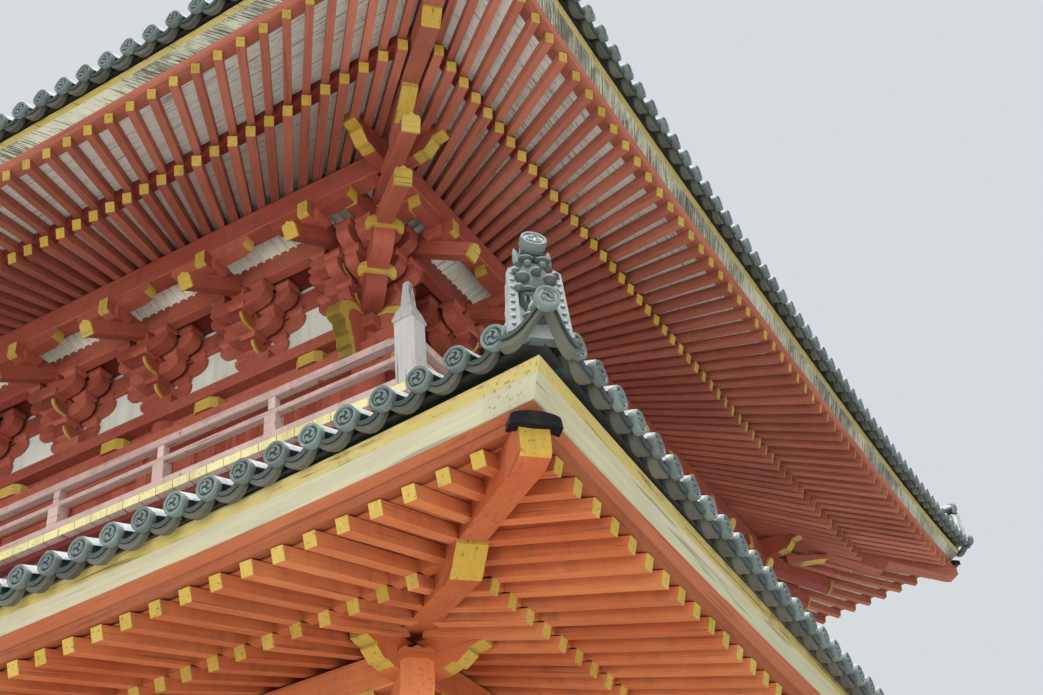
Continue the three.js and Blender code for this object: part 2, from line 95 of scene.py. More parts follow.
def plug(socket, value):
    if isinstance(value, Wire):
        value.tree.links.new(value.socket, socket)
    else:
        socket.default_value = value


def plugAll(sockets, values):
    for key, value in values.items():
        plug(sockets[key] if isinstance(key, int) else live(sockets, key), value)


def addNode(tree, kind, values=None, output=0, **settings):  # gives one output of the new node
    node = tree.nodes.new(kind)
    for key, value in settings.items():
        setattr(node, key, value)
    plugAll(node.inputs, values or {})
    return Wire(tree, live(node.outputs, output) if isinstance(output, str) else node.outputs[output])


def calc(operation, *values):
    return addNode(treeOf(values), "ShaderNodeMath", dict(enumerate(values)), operation=operation)


def vector(*parts):
    return addNode(treeOf(parts), "ShaderNodeCombineXYZ", dict(enumerate(parts)))


def vectorCalc(operation, first, second):
    return addNode(first.tree, "ShaderNodeVectorMath", {0: first, 1: second}, operation=operation)


def grouped(tree, group, values):  # a group placed in a tree, its outputs by name
    node = tree.nodes.new(tree.bl_idname.replace("NodeTree", "NodeGroup"))
    node.node_tree = group
    plugAll(node.inputs, values)
    return {socket.name: Wire(tree, socket) for socket in node.outputs}


def newGroup(name, kind, inputs, outputs):  # each socket's default, or where it has none the word for its type
    tree = bpy.data.node_groups.new(name, kind)
    for direction, sockets in (("INPUT", inputs), ("OUTPUT", outputs)):
        for label, value in sockets.items():
            word = value if isinstance(value, str) else {float: "Float", int: "Int", tuple: "Color"}[type(value)]
            socket = tree.interface.new_socket(name=label, in_out=direction, socket_type="NodeSocket" + word)
            if word != value:
                socket.default_value = value
    given = {socket.name: Wire(tree, socket) for socket in tree.nodes.new("NodeGroupInput").outputs}
    return tree, given, tree.nodes.new("NodeGroupOutput").inputs


# Surface effects that several materials share
grainSockets = dict.fromkeys(("Fibre", "Crack", "Patch", "Fleck", "Tint"), "Float")


def noise(place, scale, detail, roughness):
    values = {"Vector": place, "Scale": scale, "Detail": detail, "Roughness": roughness}
    return addNode(place.tree, "ShaderNodeTexNoise", values)


def ramp(value, low, high, fromValue=0.0, toValue=1.0):
    values = {"Value": value, "From Min": low, "From Max": high, "To Min": fromValue, "To Max": toValue}
    return addNode(value.tree, "ShaderNodeMapRange", values, clamp=True)


def mixed(factor, first, second, blend="MIX"):
    values = {0: factor, 6: first, 7: second}
    return addNode(treeOf(values.values()), "ShaderNodeMix", values, 2, data_type="RGBA", blend_type=blend)


def shaded(colour, shade):  # a colour made darker or lighter
    return mixed(1.0, colour, vector(shade, shade, shade), "MULTIPLY")


def upwards(tree):  # how far a face looks up
    normal = addNode(tree, "ShaderNodeNewGeometry", output="Normal")
    return addNode(tree, "ShaderNodeSeparateXYZ", {"Vector": normal}, "Z")


def buildPieceGrain():  # fibres, cracks and patches that follow each timber, stone or tile
    tree, given, result = newGroup("pieceGrain", "ShaderNodeTree", {"Fineness": 1.0}, grainSockets)
    spot = addNode(tree, "ShaderNodeAttribute", output="Vector", attribute_name="spot")
    along = addNode(tree, "ShaderNodeVectorMath", {0: spot, "Scale": given["Fineness"]}, operation="SCALE")
    place = addNode(tree, "ShaderNodeTexCoord", output="Object")
    plugAll(result, {
        "Fibre": noise(vectorCalc("MULTIPLY", along, (1.1, 26, 26)), 1.6, 5, 0.65),
        "Crack": ramp(noise(vectorCalc("MULTIPLY", along, (0.7, 34, 34)), 1.3, 2, 0.5), 0.36, 0.3),
        "Patch": noise(place, 0.9, 6, 0.62),
        "Fleck": noise(along, 11.0, 6, 0.7),
        "Tint": addNode(tree, "ShaderNodeAttribute", output="Fac", attribute_name="tint")})
    return tree


def buildWornPaint():  # paint that fades in patches, wears along the fibres and opens in cracks
    tree, given, result = newGroup("wornPaint", "ShaderNodeTree", {
        "Paint": "Color", "Faded": "Color", "Bare": "Color", "Wear": 0.3, "Streaky": 0.4, **grainSockets},
        {"Color": "Color", "Roughness": "Float", "Height": "Float"})
    fibre, crack, patch, fleck, tint, wear, streaky = [given[key] for key in (*grainSockets, "Wear", "Streaky")]
    coat = mixed(ramp(patch + tint * 0.22, 0.4, 0.82), given["Paint"], given["Faded"])
    coat = shaded(coat, ramp(fibre, 0.25, 0.75, 0.86, 1.1) * ramp(tint, 0.0, 1.0, 0.88, 1.08))
    rub = fleck * (1.0 - streaky) + fibre * streaky + (patch - 0.5) * (wear * 0.6)
    worn = calc("MINIMUM", calc("MAXIMUM", rub - (0.76 - wear * 0.36), 0.0) * 14.0, 1.0)
    coat = mixed(worn, coat, given["Bare"])
    plugAll(result, {
        "Color": mixed(crack * (0.15 + wear), coat, (0.02, 0.012, 0.01, 1)),
        "Roughness": ramp(fleck, 0.3, 0.8, 0.55, 0.88),
        "Height": fibre * 0.5 - crack * 0.8 - worn * 0.35})
    return tree


def buildGrime():  # grey dust on top faces and dark rain streaks down upright ones
    tree, given, result = newGroup("grime", "ShaderNodeTree", {
        "Color": "Color", "Dust": (0.5, 0.48, 0.42, 1), "Dustiness": 0.4, "Streaks": 0.3}, {"Color": "Color"})
    place = addNode(tree, "ShaderNodeTexCoord", output="Object")
    up = upwards(tree)
    streak = noise(vectorCalc("MULTIPLY", place, (7, 7, 0.45)), 1.0, 4, 0.6)
    run = ramp(streak, 0.5, 0.72) * ramp(abs(up), 0.6, 0.2) * given["Streaks"]
    settled = ramp(up, 0.2, 0.9) * ramp(noise(place, 2.3, 5, 0.65), 0.3, 0.65, 0.35, 1.0)
    streaked = mixed(run, given["Color"], (0.05, 0.05, 0.042, 1))
    plugAll(result, {"Color": mixed(settled * given["Dustiness"], streaked, given["Dust"])})
    return tree


pieceGrain = buildPieceGrain()
wornPaint = buildWornPaint()
grime = buildGrime()


# Materials
def linear(tone):  # a colour given as it looks on screen, 0 to 255
    parts = [value / 255 for value in tone]
    return (*[part / 12.92 if part <= 0.04045 else ((part + 0.055) / 1.055) ** 2.4 for part in parts], 1)


def newMaterial(name, fineness):
    material = bpy.data.materials.new(name)
    material.use_nodes = True
    return material, grouped(material.node_tree, pieceGrain, {"Fineness": fineness})


def dirty(colour, dust, streaks):
    return grouped(colour.tree, grime, {"Color": colour, "Dustiness": dust, "Streaks": streaks})["Color"]


def dressed(material, colour, roughness, height, strength, depth, specular=0.5, metallic=0.0):
    relief = {"Height": height, "Strength": strength, "Distance": depth}
    plugAll(material.node_tree.nodes["Principled BSDF"].inputs, {
        "Base Color": colour, "Roughness": roughness, "Specular IOR Level": specular, "Metallic": metallic,
        "Normal": addNode(material.node_tree, "ShaderNodeBump", relief)})
    return material


def paintedWood(name, paint, faded, bare, wear, streaky=0.4, fineness=1.0):
    material, grain = newMaterial(name, fineness)
    coat = grouped(material.node_tree, wornPaint, {
        **grain, "Paint": linear(paint), "Faded": linear(faded), "Bare": linear(bare), "Wear": wear,
        "Streaky": streaky})
    return dressed(material, dirty(coat["Color"], 0.35, 0.25), coat["Roughness"], coat["Height"], 0.6, 0.006, 0.3)


def plasterMaterial(name, brightness):
    material, grain = newMaterial(name, 0.5)
    fleck = grain["Fleck"]
    light, dull = [linear([value * brightness for value in tone]) for tone in ((214, 218, 206), (190, 194, 180))]
    base = mixed(ramp(grain["Patch"], 0.35, 0.7), light, dull)
    stained = mixed(ramp(fleck, 0.62, 0.8, 0, 0.5), base, linear((150, 150, 130)))
    return dressed(material, dirty(stained, 0.2, 0.22), ramp(fleck, 0.3, 0.7, 0.82, 0.95), fleck, 0.35, 0.004)


def tileMaterial(name, base, pale, lichen, highlightFrom=0.0):
    material, grain = newMaterial(name, 1.6)
    fleck = grain["Fleck"]
    colour = shaded(linear(base), ramp(grain["Tint"], 0, 1, 0.72, 1.25))
    # painted highlight: faces that look up are whitened towards the pale tone as if lit by the sky
    skyHighlight = ramp(upwards(material.node_tree), highlightFrom, highlightFrom + 0.6)
    colour = mixed(skyHighlight * ramp(fleck, 0.3, 0.6, 0.55, 1.0), colour, linear(pale))
    colour = mixed(ramp(grain["Patch"], 0.58, 0.78, 0, 0.5), colour, linear(lichen))
    colour = mixed(ramp(fleck, 0.6, 0.74, 0, 0.55), colour, linear(pale))
    return dressed(material, colour, ramp(fleck, 0.25, 0.75, 0.42, 0.8), fleck, 0.5, 0.004)


def stoneMaterial(name, base, speck, moss):
    material, grain = newMaterial(name, 2.2)
    fleck = grain["Fleck"]
    colour = shaded(linear(base), ramp(grain["Tint"], 0, 1, 0.8, 1.15))
    colour = mixed(ramp(fleck, 0.52, 0.68, 0, 0.6), colour, linear(speck))
    colour = mixed(ramp(grain["Patch"], 0.56, 0.74, 0, 0.45), colour, linear(moss))
    return dressed(material, dirty(colour, 0.25, 0.5), ramp(fleck, 0.3, 0.7, 0.75, 0.95), fleck, 0.7, 0.008)


def metalMaterial(name, bright, crust, metallic, specular=0.5):
    material, grain = newMaterial(name, 1.4)
    fleck, patch = grain["Fleck"], grain["Patch"]
    colour = mixed(ramp(patch, 0.4, 0.6), linear(bright), linear(crust))
    return dressed(material, dirty(colour, 0.15, 0.4), ramp(fleck, 0.3, 0.7, 0.38, 0.7), fleck, 0.4, 0.003, specular,
                   ramp(patch, 0.4, 0.6, metallic, metallic * 0.3))


# paint, faded paint and bare wood, then how worn it is, how far along the grain, and how fine that is
paints = {
    "vermilion": ((192, 98, 56), (204, 126, 78), (142, 84, 58), 0.17),
    # a darker copy of vermilion for the beams on the lower flying rafter ends: painted shade on front faces that
    # catch more light
    "edgeRed": ((156, 80, 47), (168, 98, 62), (124, 78, 56), 0.17),
    "darkRed": ((158, 74, 57), (178, 98, 76), (180, 136, 114), 0.24),
    "rafterRed": ((164, 90, 70), (182, 110, 88), (150, 98, 80), 0.2),
    "shadowRed": ((112, 38, 34), (134, 52, 42), (120, 80, 68), 0.2),
    "yellow": ((190, 155, 58), (194, 166, 84), (142, 110, 66), 0.34),
    "yellowEdge": ((178, 154, 72), (188, 172, 108), (138, 116, 70), 0.5, 0.75),
    "cream": ((184, 178, 146), (176, 172, 144), (126, 118, 92), 0.24),
    "peelingCream": ((196, 192, 164), (182, 182, 162), (98, 98, 84), 0.8, 0.8, 1.4),
    "greyBoard": ((250, 255, 246), (240, 246, 232), (170, 174, 152), 0.56, 0.9, 1.6),
    "plankEnd": ((232, 220, 150), (224, 216, 160), (180, 160, 110), 0.2),
    "paleTimber": ((192, 156, 146), (206, 182, 172), (150, 90, 74), 0.5),
    "postWood": ((174, 169, 165), (190, 187, 183), (136, 118, 112), 0.45),
    "latticeGreen": ((70, 104, 84), (96, 124, 100), (130, 110, 84), 0.3),
}
# a material's name, its fired tone, its pale tone for flecks and for the painted sky highlight on faces that look up,
# its lichened tone, and the upward look from which that highlight is painted
tileTones = {
    "tile": ("smokedTile", (84, 96, 92), (240, 243, 241), (122, 132, 116), -0.25),
    # pan tiles: darker than the cover tiles as painted shade in the troughs between the barrels
    "troughTile": ("troughTile", (56, 66, 63), (138, 144, 140), (82, 92, 80)),
    "disc": ("roundEndTile", (42, 56, 54), (80, 94, 89), (58, 76, 69)),
    "discRim": ("roundTileRim", (98, 110, 106), (180, 186, 181), (94, 112, 101)),
    "lipTile": ("lipTile", (86, 86, 76), (134, 132, 122), (80, 82, 68)),
    # the ornament's face tile: its dark fired tone paints the shade of the face's crevices, its pale tone the
    # highlights on its bumps
    "ornamentTile": ("ornamentTile", (60, 70, 68), (196, 202, 198), (90, 100, 88)),
    # the tile bed: a near-black tone that paints the shade in the gap under the tiles
    "underTile": ("underTile", (52, 52, 48), (120, 118, 110), (80, 80, 66)),
}
finishes = {
    # the second plaster is a brighter copy for the sloping plaster and its ribs in the recess under the upper purlin:
    # painted light against the shade there
    "plaster": plasterMaterial("limePlaster", 1.08), "whitePlaster": plasterMaterial("whitePlaster", 1.2),
    "stone": stoneMaterial("platformGranite", (168, 162, 148), (96, 92, 84), (98, 104, 74)),
    "bronze": metalMaterial("oldBronze", (92, 84, 62), (88, 124, 106), 0.85),
    "iron": metalMaterial("blackIron", (14, 15, 20), (26, 26, 28), 0.1, 0.15),
    **{name: paintedWood(name, *values) for name, values in paints.items()},
    **{name: tileMaterial(*values) for name, values in tileTones.items()},
}
print("materials ready", len(finishes))


# Mesh tools

class Pile:  # gathers the timbers, stones or tiles of one piece, each with its own grain
    def __init__(self, seed):
        self.points, self.faces, self.kinds, self.spots, self.tints = [], [], [], [], []
        self.dice = random.Random(seed)

    def add(self, points, faces, kinds, place=None, spots=None):
        start = len(self.points)
        shift = Vector([self.dice.uniform(0, 40) for _ in range(3)])
        tint = self.dice.random()
        for i, point in enumerate(points):
            self.points.append(place @ Vector(point) if place else Vector(point))
            self.spots.append(Vector(spots[i] if spots else point) + shift)
            self.tints.append(tint)
        self.faces += [[start + i for i in face] for face in faces]
        self.kinds += kinds if isinstance(kinds, list) else [kinds] * len(faces)

    def quarters(self):  # the front's shapes turned to the other three sides
        points, faces, kinds = list(self.points), list(self.faces), list(self.kinds)
        spots, tints = list(self.spots), list(self.tints)
        for quarter in (1, 2, 3):
            start, turn = len(self.points), turned(90 * quarter)
            self.points += [turn @ point for point in points]
            self.faces += [[start + i for i in face] for face in faces]
            self.kinds += kinds
            self.spots += [spot + Vector((9.7, 3.1, 5.3)) * quarter for spot in spots]
            self.tints += [(tint + 0.37 * quarter) % 1 for tint in tints]

    def mesh(self, name, smoothTo=34):
        mesh = bpy.data.meshes.new(name)
        mesh.from_pydata(self.points, [], self.faces)
        names = sorted(set(self.kinds))
        for kind in names:
            mesh.materials.append(finishes[kind])
        mesh.polygons.foreach_set("material_index", [names.index(kind) for kind in self.kinds])
        spot = mesh.attributes.new("spot", "FLOAT_VECTOR", "POINT")
        spot.data.foreach_set("vector", [value for point in self.spots for value in point])
        mesh.attributes.new("tint", "FLOAT", "POINT").data.foreach_set("value", self.tints)
        work = bmesh.new()
        work.from_mesh(mesh)
        bmesh.ops.recalc_face_normals(work, faces=work.faces)
        work.to_mesh(mesh)
        work.free()
        return softened(mesh, smoothTo)

    def piece(self, name, nodes=()):
        placed(name, self.mesh(name), nodes)


def softened(mesh, angle):
    mesh.polygons.foreach_set("use_smooth", [True] * len(mesh.polygons))
    mesh.set_sharp_from_angle(angle=math.radians(angle))
    return mesh


def linked(name, data):
    made = bpy.data.objects.new(name, data)
    bpy.context.scene.collection.objects.link(made)
    return made


def placed(name, mesh, nodes=()):
    made = linked(name, mesh)
    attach(made, "root")
    if nodes:
        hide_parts(*nodes)


def grown(name, tree, values, nodes=(), smoothTo=34):  # what a node tree makes, as a plain mesh
    holder = linked(name + "Source", bpy.data.meshes.new(name + "Source"))
    modifier = holder.modifiers.new("grow", "NODES")
    modifier.node_group = tree
    for item in tree.interface.items_tree:
        if item.in_out == "INPUT" and item.name in values:
            modifier[item.identifier] = values[item.name]
    graph = bpy.context.evaluated_depsgraph_get()
    mesh = bpy.data.meshes.new_from_object(holder.evaluated_get(graph), depsgraph=graph)
    mesh.name = name
    bpy.data.objects.remove(holder)
    placed(name, softened(mesh, smoothTo), nodes)


def turned(degrees, axis="Z"):
    return Matrix.Rotation(math.radians(degrees), 4, axis)


def at(x, y, z, degrees=0.0, axis="Z"):
    return Matrix.Translation((x, y, z)) @ turned(degrees, axis)


hip = turned(-45)  # X runs out from the tower's middle over the front right corner


def frameAlong(start, end):  # X runs from start to end, Z is as near up as it can be
    along = (end - start).normalized()
    up = Vector((0, 1, 0)) if abs(along.z) > 0.999 else upAxis
    across = up.cross(along).normalized()
    turn = Matrix((along, across, along.cross(across))).transposed().to_4x4()
    return Matrix.Translation(start) @ turn, (end - start).length


def loop(first, count):  # the faces that join a ring of points to the next ring
    return [[first + i, first + (i + 1) % count, first + (i + 1) % count + count, first + i + count]
            for i in range(count)]


def caps(count):
    return [list(range(count)), [count + i for i in reversed(range(count))]]


def prism(pile, outline, width, place, kind, edgeKinds=None):  # an outline in X and Z, as thick as width along Y
    count = len(outline)
    points = [(x, side * width / 2, z) for side in (-1, 1) for x, z in outline]
    faces = caps(count) + [[a, d, c, b] for a, b, c, d in loop(0, count)]
    pile.add(points, faces, [kind, kind] + [(edgeKinds or {}).get(i, kind) for i in range(count)], place)


def beam(pile, start, end, width, depth, kind, ends=None, edge=0.008):  # ends are the finishes at start and end
    place, length = frameAlong(Vector(start), Vector(end))
    w, d = width / 2, depth / 2
    edge = min(edge, w * 0.5, d * 0.5)
    section = [(-w + edge, -d), (w - edge, -d), (w, -d + edge), (w, d - edge),
               (w - edge, d), (-w + edge, d), (-w, d - edge), (-w, -d + edge)]
    points = [(x, y, z) for x in (0, length) for y, z in section]
    pile.add(points, loop(0, 8) + caps(8), [kind] * 8 + list(ends or (kind, kind)), place)


def block(pile, low, high, kind, edge=0.0):  # an upright box between two corners
    low, high = Vector(low), Vector(high)
    if edge:
        middle = (low + high) / 2
        beam(pile, (low.x, middle.y, middle.z), (high.x, middle.y, middle.z), high.y - low.y, high.z - low.z,
             kind, edge=edge)
        return
    points = [(x, y, z) for z in (low.z, high.z) for x, y in (
        (low.x, low.y), (high.x, low.y), (high.x, high.y), (low.x, high.y))]
    pile.add(points, [[3, 2, 1, 0], [4, 5, 6, 7]] + loop(0, 4), kind)


def lathe(pile, profile, steps, place, kind, start=0.0, reach=1.0):  # radius and height points, turned about Z
    rings, points, faces = [], [], []
    for radius, height in profile:
        count = steps if radius > 1e-6 else 1
        rings.append([len(points) + i for i in range(count)])
        for i in range(count):
            angle = start + math.tau * i / steps
            points.append((math.cos(angle) * radius * reach, math.sin(angle) * radius * reach, height))
    for lower, upper in zip(rings, rings[1:]):
        for i in range(steps if len(lower) + len(upper) > 2 else 0):
            following = (i + 1) % steps
            if len(lower) == 1:
                faces.append([lower[0], upper[following], upper[i]])
            elif len(upper) == 1:
                faces.append([lower[i], lower[following], upper[0]])
            else:
                faces.append([lower[i], lower[following], upper[following], upper[i]])
    if len(rings[0]) > 1:
        faces.append(rings[0][::-1])
    if len(rings[-1]) > 1:
        faces.append(rings[-1])
    pile.add(points, faces, kind, place, [(point[2], point[0], point[1]) for point in points])


def squarePost(pile, profile, place, kind, start=math.pi / 4):  # half width and height points, square in plan
    lathe(pile, profile, 4, place, kind, start, root2)


# a ring of square plan from [half, height, corner lift] points, its grain along the ring or slanting across it
def squareRing(pile, profile, kinds, perSide, slanting=False):
    count = len(profile)
    points, spots = [], []
    for side in range(4):
        turn = turned(90 * side)
        for step in range(perSide):
            share = 2 * step / perSide - 1
            for half, height, lift in profile:
                points.append(turn @ Vector((share * half, -half, height + lift * abs(share) ** 3)))
                along, reach = share * half + side * 31, half + height
                spots.append((reach, along + reach * 0.8, 0.0) if slanting else (along, half, height))
    faces = []
    for step in range(perSide * 4):
        here, after = step * count, (step + 1) % (perSide * 4) * count
        for i in range(count):
            other = (i + 1) % count
            faces.append([here + i, after + i, after + other, here + other])
    pile.add(points, faces, kinds * perSide * 4 if isinstance(kinds, list) else kinds, None, spots)


def ringBeam(pile, inner, outer, low, high, kind, edge=0.01):  # a level beam round all four sides
    squareRing(pile, [
        (inner, low, 0), (outer - edge, low, 0), (outer, low + edge, 0), (outer, high - edge, 0),
        (outer - edge, high, 0), (inner, high, 0)], kind, 2)


# The lower and the upper eave. A half is measured from the middle of the tower to one side.
eaveSizes = {
    "name": ("lower", "upper"), "slot": ("vermilion_wood", "dark_red_wood"),
    "wood": ("vermilion", "darkRed"), "rafterWood": ("vermilion", "rafterRed"), "edgeWood": ("edgeRed", "rafterRed"),
    "dark": ("vermilion", "shadowRed"), "soffit": ("vermilion", "greyBoard"), "board": ("cream", "peelingCream"),
    "wallHalf": (4.05, 3.72), "plate": (5.35, 10.77), "purlinHalf": (4.69, 4.57), "purlinDepth": (0.28, 0.27),
    "baseHalf": (5.865, 5.74), "baseHeight": (6.325, 11.65), "flyHalf": (6.97, 6.67), "flyHeight": (6.09, 11.52),
    "fan": (0.0, 1.0), "baseCount": (48, 54), "flyCount": (58, 54), "rafterPitch": (0.23288, 0.208),
    "flyWidth": (0.085, 0.072), "rafterLift": (0.25, 0.32),
    "boardHalf": (6.97, 6.62), "boardHeight": (6.15, 11.47), "boardLift": (0.23, 0.38),
    "boardFootLift": (0.1925, 0.35), "boardEdge": (0.0, 0.014), "hipWidth": (0.21, 0.17),
    "hip": ((5.74, 6.467, 6.97, 6.305), (5.74, 11.833, 6.64, 11.81)),
    "tileHalf": (7.36, 7.01), "tileLift": (0.384, 0.45), "discHeight": (6.444, 11.815),
    "topHalf": (4.185, 0.3), "topHeight": (8.12, 16.18), "courses": (11, 24), "ridgeTop": (4.215, 0.5),
    "reaches": ((0.32, 0.64), (0.2, 0.4)), "cornerReaches": ((0.32, 0.64), (0.28, 0.56)),
    "levels": ((5.5, 5.76, 6.02), (10.88, 11.115, 11.345)), "noseBase": (6.46, 11.83),
    "through": ((4.37, 6.2, 6.4), (4.12, 11.56, 11.82)),
    # the arms along the wall: tier, plane outwards and half length
    "arms": (((0, 0, 0.36), (1, 0, 0.5), (1, 1, 0.38), (2, 0, 0.5), (2, 1, 0.52), (2, 2, 0.4)),
             ((0, 0, 0.33), (1, 0, 0.53), (1, 1, 0.32), (2, 1, 0.5), (2, 2, 0.34))),
}
lowerEave, upperEave = [{key: values[i] for key, values in eaveSizes.items()} for i in (0, 1)]
tileBed = 0.01
liftSpan = 3.6
rafterDepth = 0.105
baseSlope = 0.36
flySlope = 0.3
slopeShare = 0.72  # how much of the roof's rise is straight, the rest curves


def roofHeight(eave, half, x=0.0):  # the tile bed's height there
    share = (eave["tileHalf"] - half) / (eave["tileHalf"] - eave["topHalf"])
    foot = eave["discHeight"] - tileBed
    height = foot + (eave["topHeight"] - foot) * (slopeShare * share + (1 - slopeShare) * share * share)
    return height + roofLift(eave, half) * min(1.0, abs(x) / max(half, 0.01)) ** 3


def roofLift(eave, half):  # how much higher the roof is over the hip
    return eave["tileLift"] * max(0.0, 1 - (eave["tileHalf"] - half) / liftSpan) ** 1.5


def rafterLiftAt(eave, half):
    return eave["rafterLift"] * max(0.0, (half - eave["purlinHalf"]) / (eave["flyHalf"] - eave["purlinHalf"]))


def baseRafterAt(eave, half):  # height of the lower rafters' middle line
    return eave["baseHeight"] + (eave["baseHalf"] - half) * baseSlope


def flyRafterAt(eave, half):
    return eave["flyHeight"] + (eave["flyHalf"] - half) * flySlope


def purlinTopOf(eave):
    return baseRafterAt(eave, eave["purlinHalf"] + 0.105) - rafterDepth / 2


# Node trees for what repeats along and up the eaves

def joined(parts):
    join = parts[0].tree.nodes.new("GeometryNodeJoinGeometry")
    for part in parts:
        plug(join.inputs[0], part)
    return Wire(parts[0].tree, join.outputs[0])


def buildFourSides():  # the front's geometry and its three turned copies
    tree, given, result = newGroup("fourSides", "GeometryNodeTree", {"Geometry": "Geometry"},
                                   {"Geometry": "Geometry"})
    plug(result["Geometry"], joined([addNode(tree, "GeometryNodeTransform", {
        "Geometry": given["Geometry"], "Rotation": (0, 0, quarter * math.pi / 2)}) for quarter in range(4)]))
    return tree


def remembered(geometry, name, value, kind="FLOAT", domain="POINT"):
    return addNode(geometry.tree, "GeometryNodeStoreNamedAttribute", {
        "Geometry": geometry, "Name": name, "Value": value}, data_type=kind, domain=domain)


def recalled(tree, name, kind="FLOAT"):
    return addNode(tree, "GeometryNodeInputNamedAttribute", {"Name": name}, "Attribute", data_type=kind)


def chance(tree, low, high, seed):
    values = {"Min": low, "Max": high, "Seed": seed}
    return addNode(tree, "FunctionNodeRandomValue", values, "Value", data_type="FLOAT")


def moved(points, place):
    return addNode(points.tree, "GeometryNodeSetPosition", {"Geometry": points, "Position": place})


def realized(copies):  # the copies on all four sides, as one mesh
    around = grouped(copies.tree, fourSides, {"Geometry": copies})["Geometry"]
    return addNode(copies.tree, "GeometryNodeRealizeInstances", {"Geometry": around})


def withGrain(solid, spot, shift):  # where each copy's grain lies
    shifted = vectorCalc("ADD", spot, vector(shift, shift, shift))
    return remembered(solid, "spot", shifted, "FLOAT_VECTOR")


def barsOn(points, seed, size, turn, material):  # a bar on each point, on all four sides
    tree = points.tree
    cube = addNode(tree, "GeometryNodeMeshCube")
    cube = remembered(cube, "unit", addNode(tree, "GeometryNodeInputPosition"), "FLOAT_VECTOR")
    bars = addNode(tree, "GeometryNodeInstanceOnPoints", {
        "Points": points, "Instance": cube, "Rotation": turn, "Scale": size})
    bars = remembered(bars, "tint", chance(tree, 0.0, 1.0, seed), "FLOAT", "INSTANCE")
    solid = realized(remembered(bars, "size", size, "FLOAT_VECTOR", "INSTANCE"))
    spot = vectorCalc("MULTIPLY", recalled(tree, "unit", "FLOAT_VECTOR"), recalled(tree, "size", "FLOAT_VECTOR"))
    solid = withGrain(solid, spot, recalled(tree, "tint") * 37.0)
    return addNode(tree, "GeometryNodeSetMaterial", {"Geometry": solid, "Material": material})


def buildRafterRow():  # one tier of rafters on all four sides, parallel or fanned, with painted ends
    tree, given, result = newGroup("rafterRow", "GeometryNodeTree", {
        "Geometry": "Geometry", "Count": 10, "Pitch": 0.2, "Start Half": 4.7, "End Half": 5.7, "Slope": 0.3,
        "End Height": 6.0, "Corner Lift": 0.1, "Lift From": 4.7, "Lift To": 6.9, "Fan": 0.0, "Hip Clear": 0.1,
        "Width": 0.085, "Depth": 0.105, "Seed": 1, "Wood": "Material", "End Paint": "Material"},
        {"Geometry": "Geometry"})
    fan, near, endHalf, width, depth = [given[key] for key in ("Fan", "Start Half", "End Half", "Width", "Depth")]
    points = addNode(tree, "GeometryNodePoints", {"Count": given["Count"]})
    endX = (addNode(tree, "GeometryNodeInputIndex") - (given["Count"] - 1) * 0.5) * given["Pitch"]
    startHalf = calc("MAXIMUM", near, abs(endX) + given["Hip Clear"]) * (1.0 - fan) + near * fan
    startX = endX * (1.0 - fan * (1.0 - near / endHalf))

    def height(half, x):
        run = calc("MAXIMUM", (half - given["Lift From"]) / (given["Lift To"] - given["Lift From"]), 0.0)
        level = given["End Height"] + (endHalf - half) * given["Slope"]
        return level + given["Corner Lift"] * run * abs(x / half) ** 3.0

    startZ, endZ = height(startHalf, startX), height(endHalf, endX)
    dx, dy, dz = endX - startX, startHalf - endHalf, endZ - startZ
    level = calc("SQRT", dx * dx + dy * dy)
    length = calc("SQRT", level * level + dz * dz)
    turn = vector(0.0, -calc("ARCTAN2", dz, level), calc("ARCTAN2", dy, dx))
    centre = vector((startX + endX) * 0.5, (startHalf + endHalf) * -0.5, (startZ + endZ) * 0.5)
    wood = barsOn(moved(points, centre), given["Seed"], vector(length, width, depth), turn, given["Wood"])
    proud = vector(0.008, width + 0.002, depth + 0.002)
    tips = moved(points, vector(endX, -endHalf, endZ))
    ends = barsOn(tips, given["Seed"], proud, turn, given["End Paint"])
    plug(result["Geometry"], joined([wood, ends]))
    return tree


roofShape = dict.fromkeys(("Tile Half", "Top Half", "Foot", "Top Height", "Corner Lift"), "Float")


def buildRoofHeight():
    tree, given, result = newGroup("roofHeight", "GeometryNodeTree", {"Half": "Float", "X": "Float", **roofShape},
                                   {"Height": "Float"})
    back = given["Tile Half"] - given["Half"]
    share = back / (given["Tile Half"] - given["Top Half"])
    rise = share * slopeShare + share * share * (1 - slopeShare)
    reach = calc("MAXIMUM", 1.0 - back / liftSpan, 0.0) ** 1.5
    across = calc("MINIMUM", abs(given["X"] / calc("MAXIMUM", given["Half"], 0.01)), 1.0)
    level = given["Foot"] + rise * (given["Top Height"] - given["Foot"])
    plug(result["Height"], level + given["Corner Lift"] * reach * across ** 3.0)
    return tree


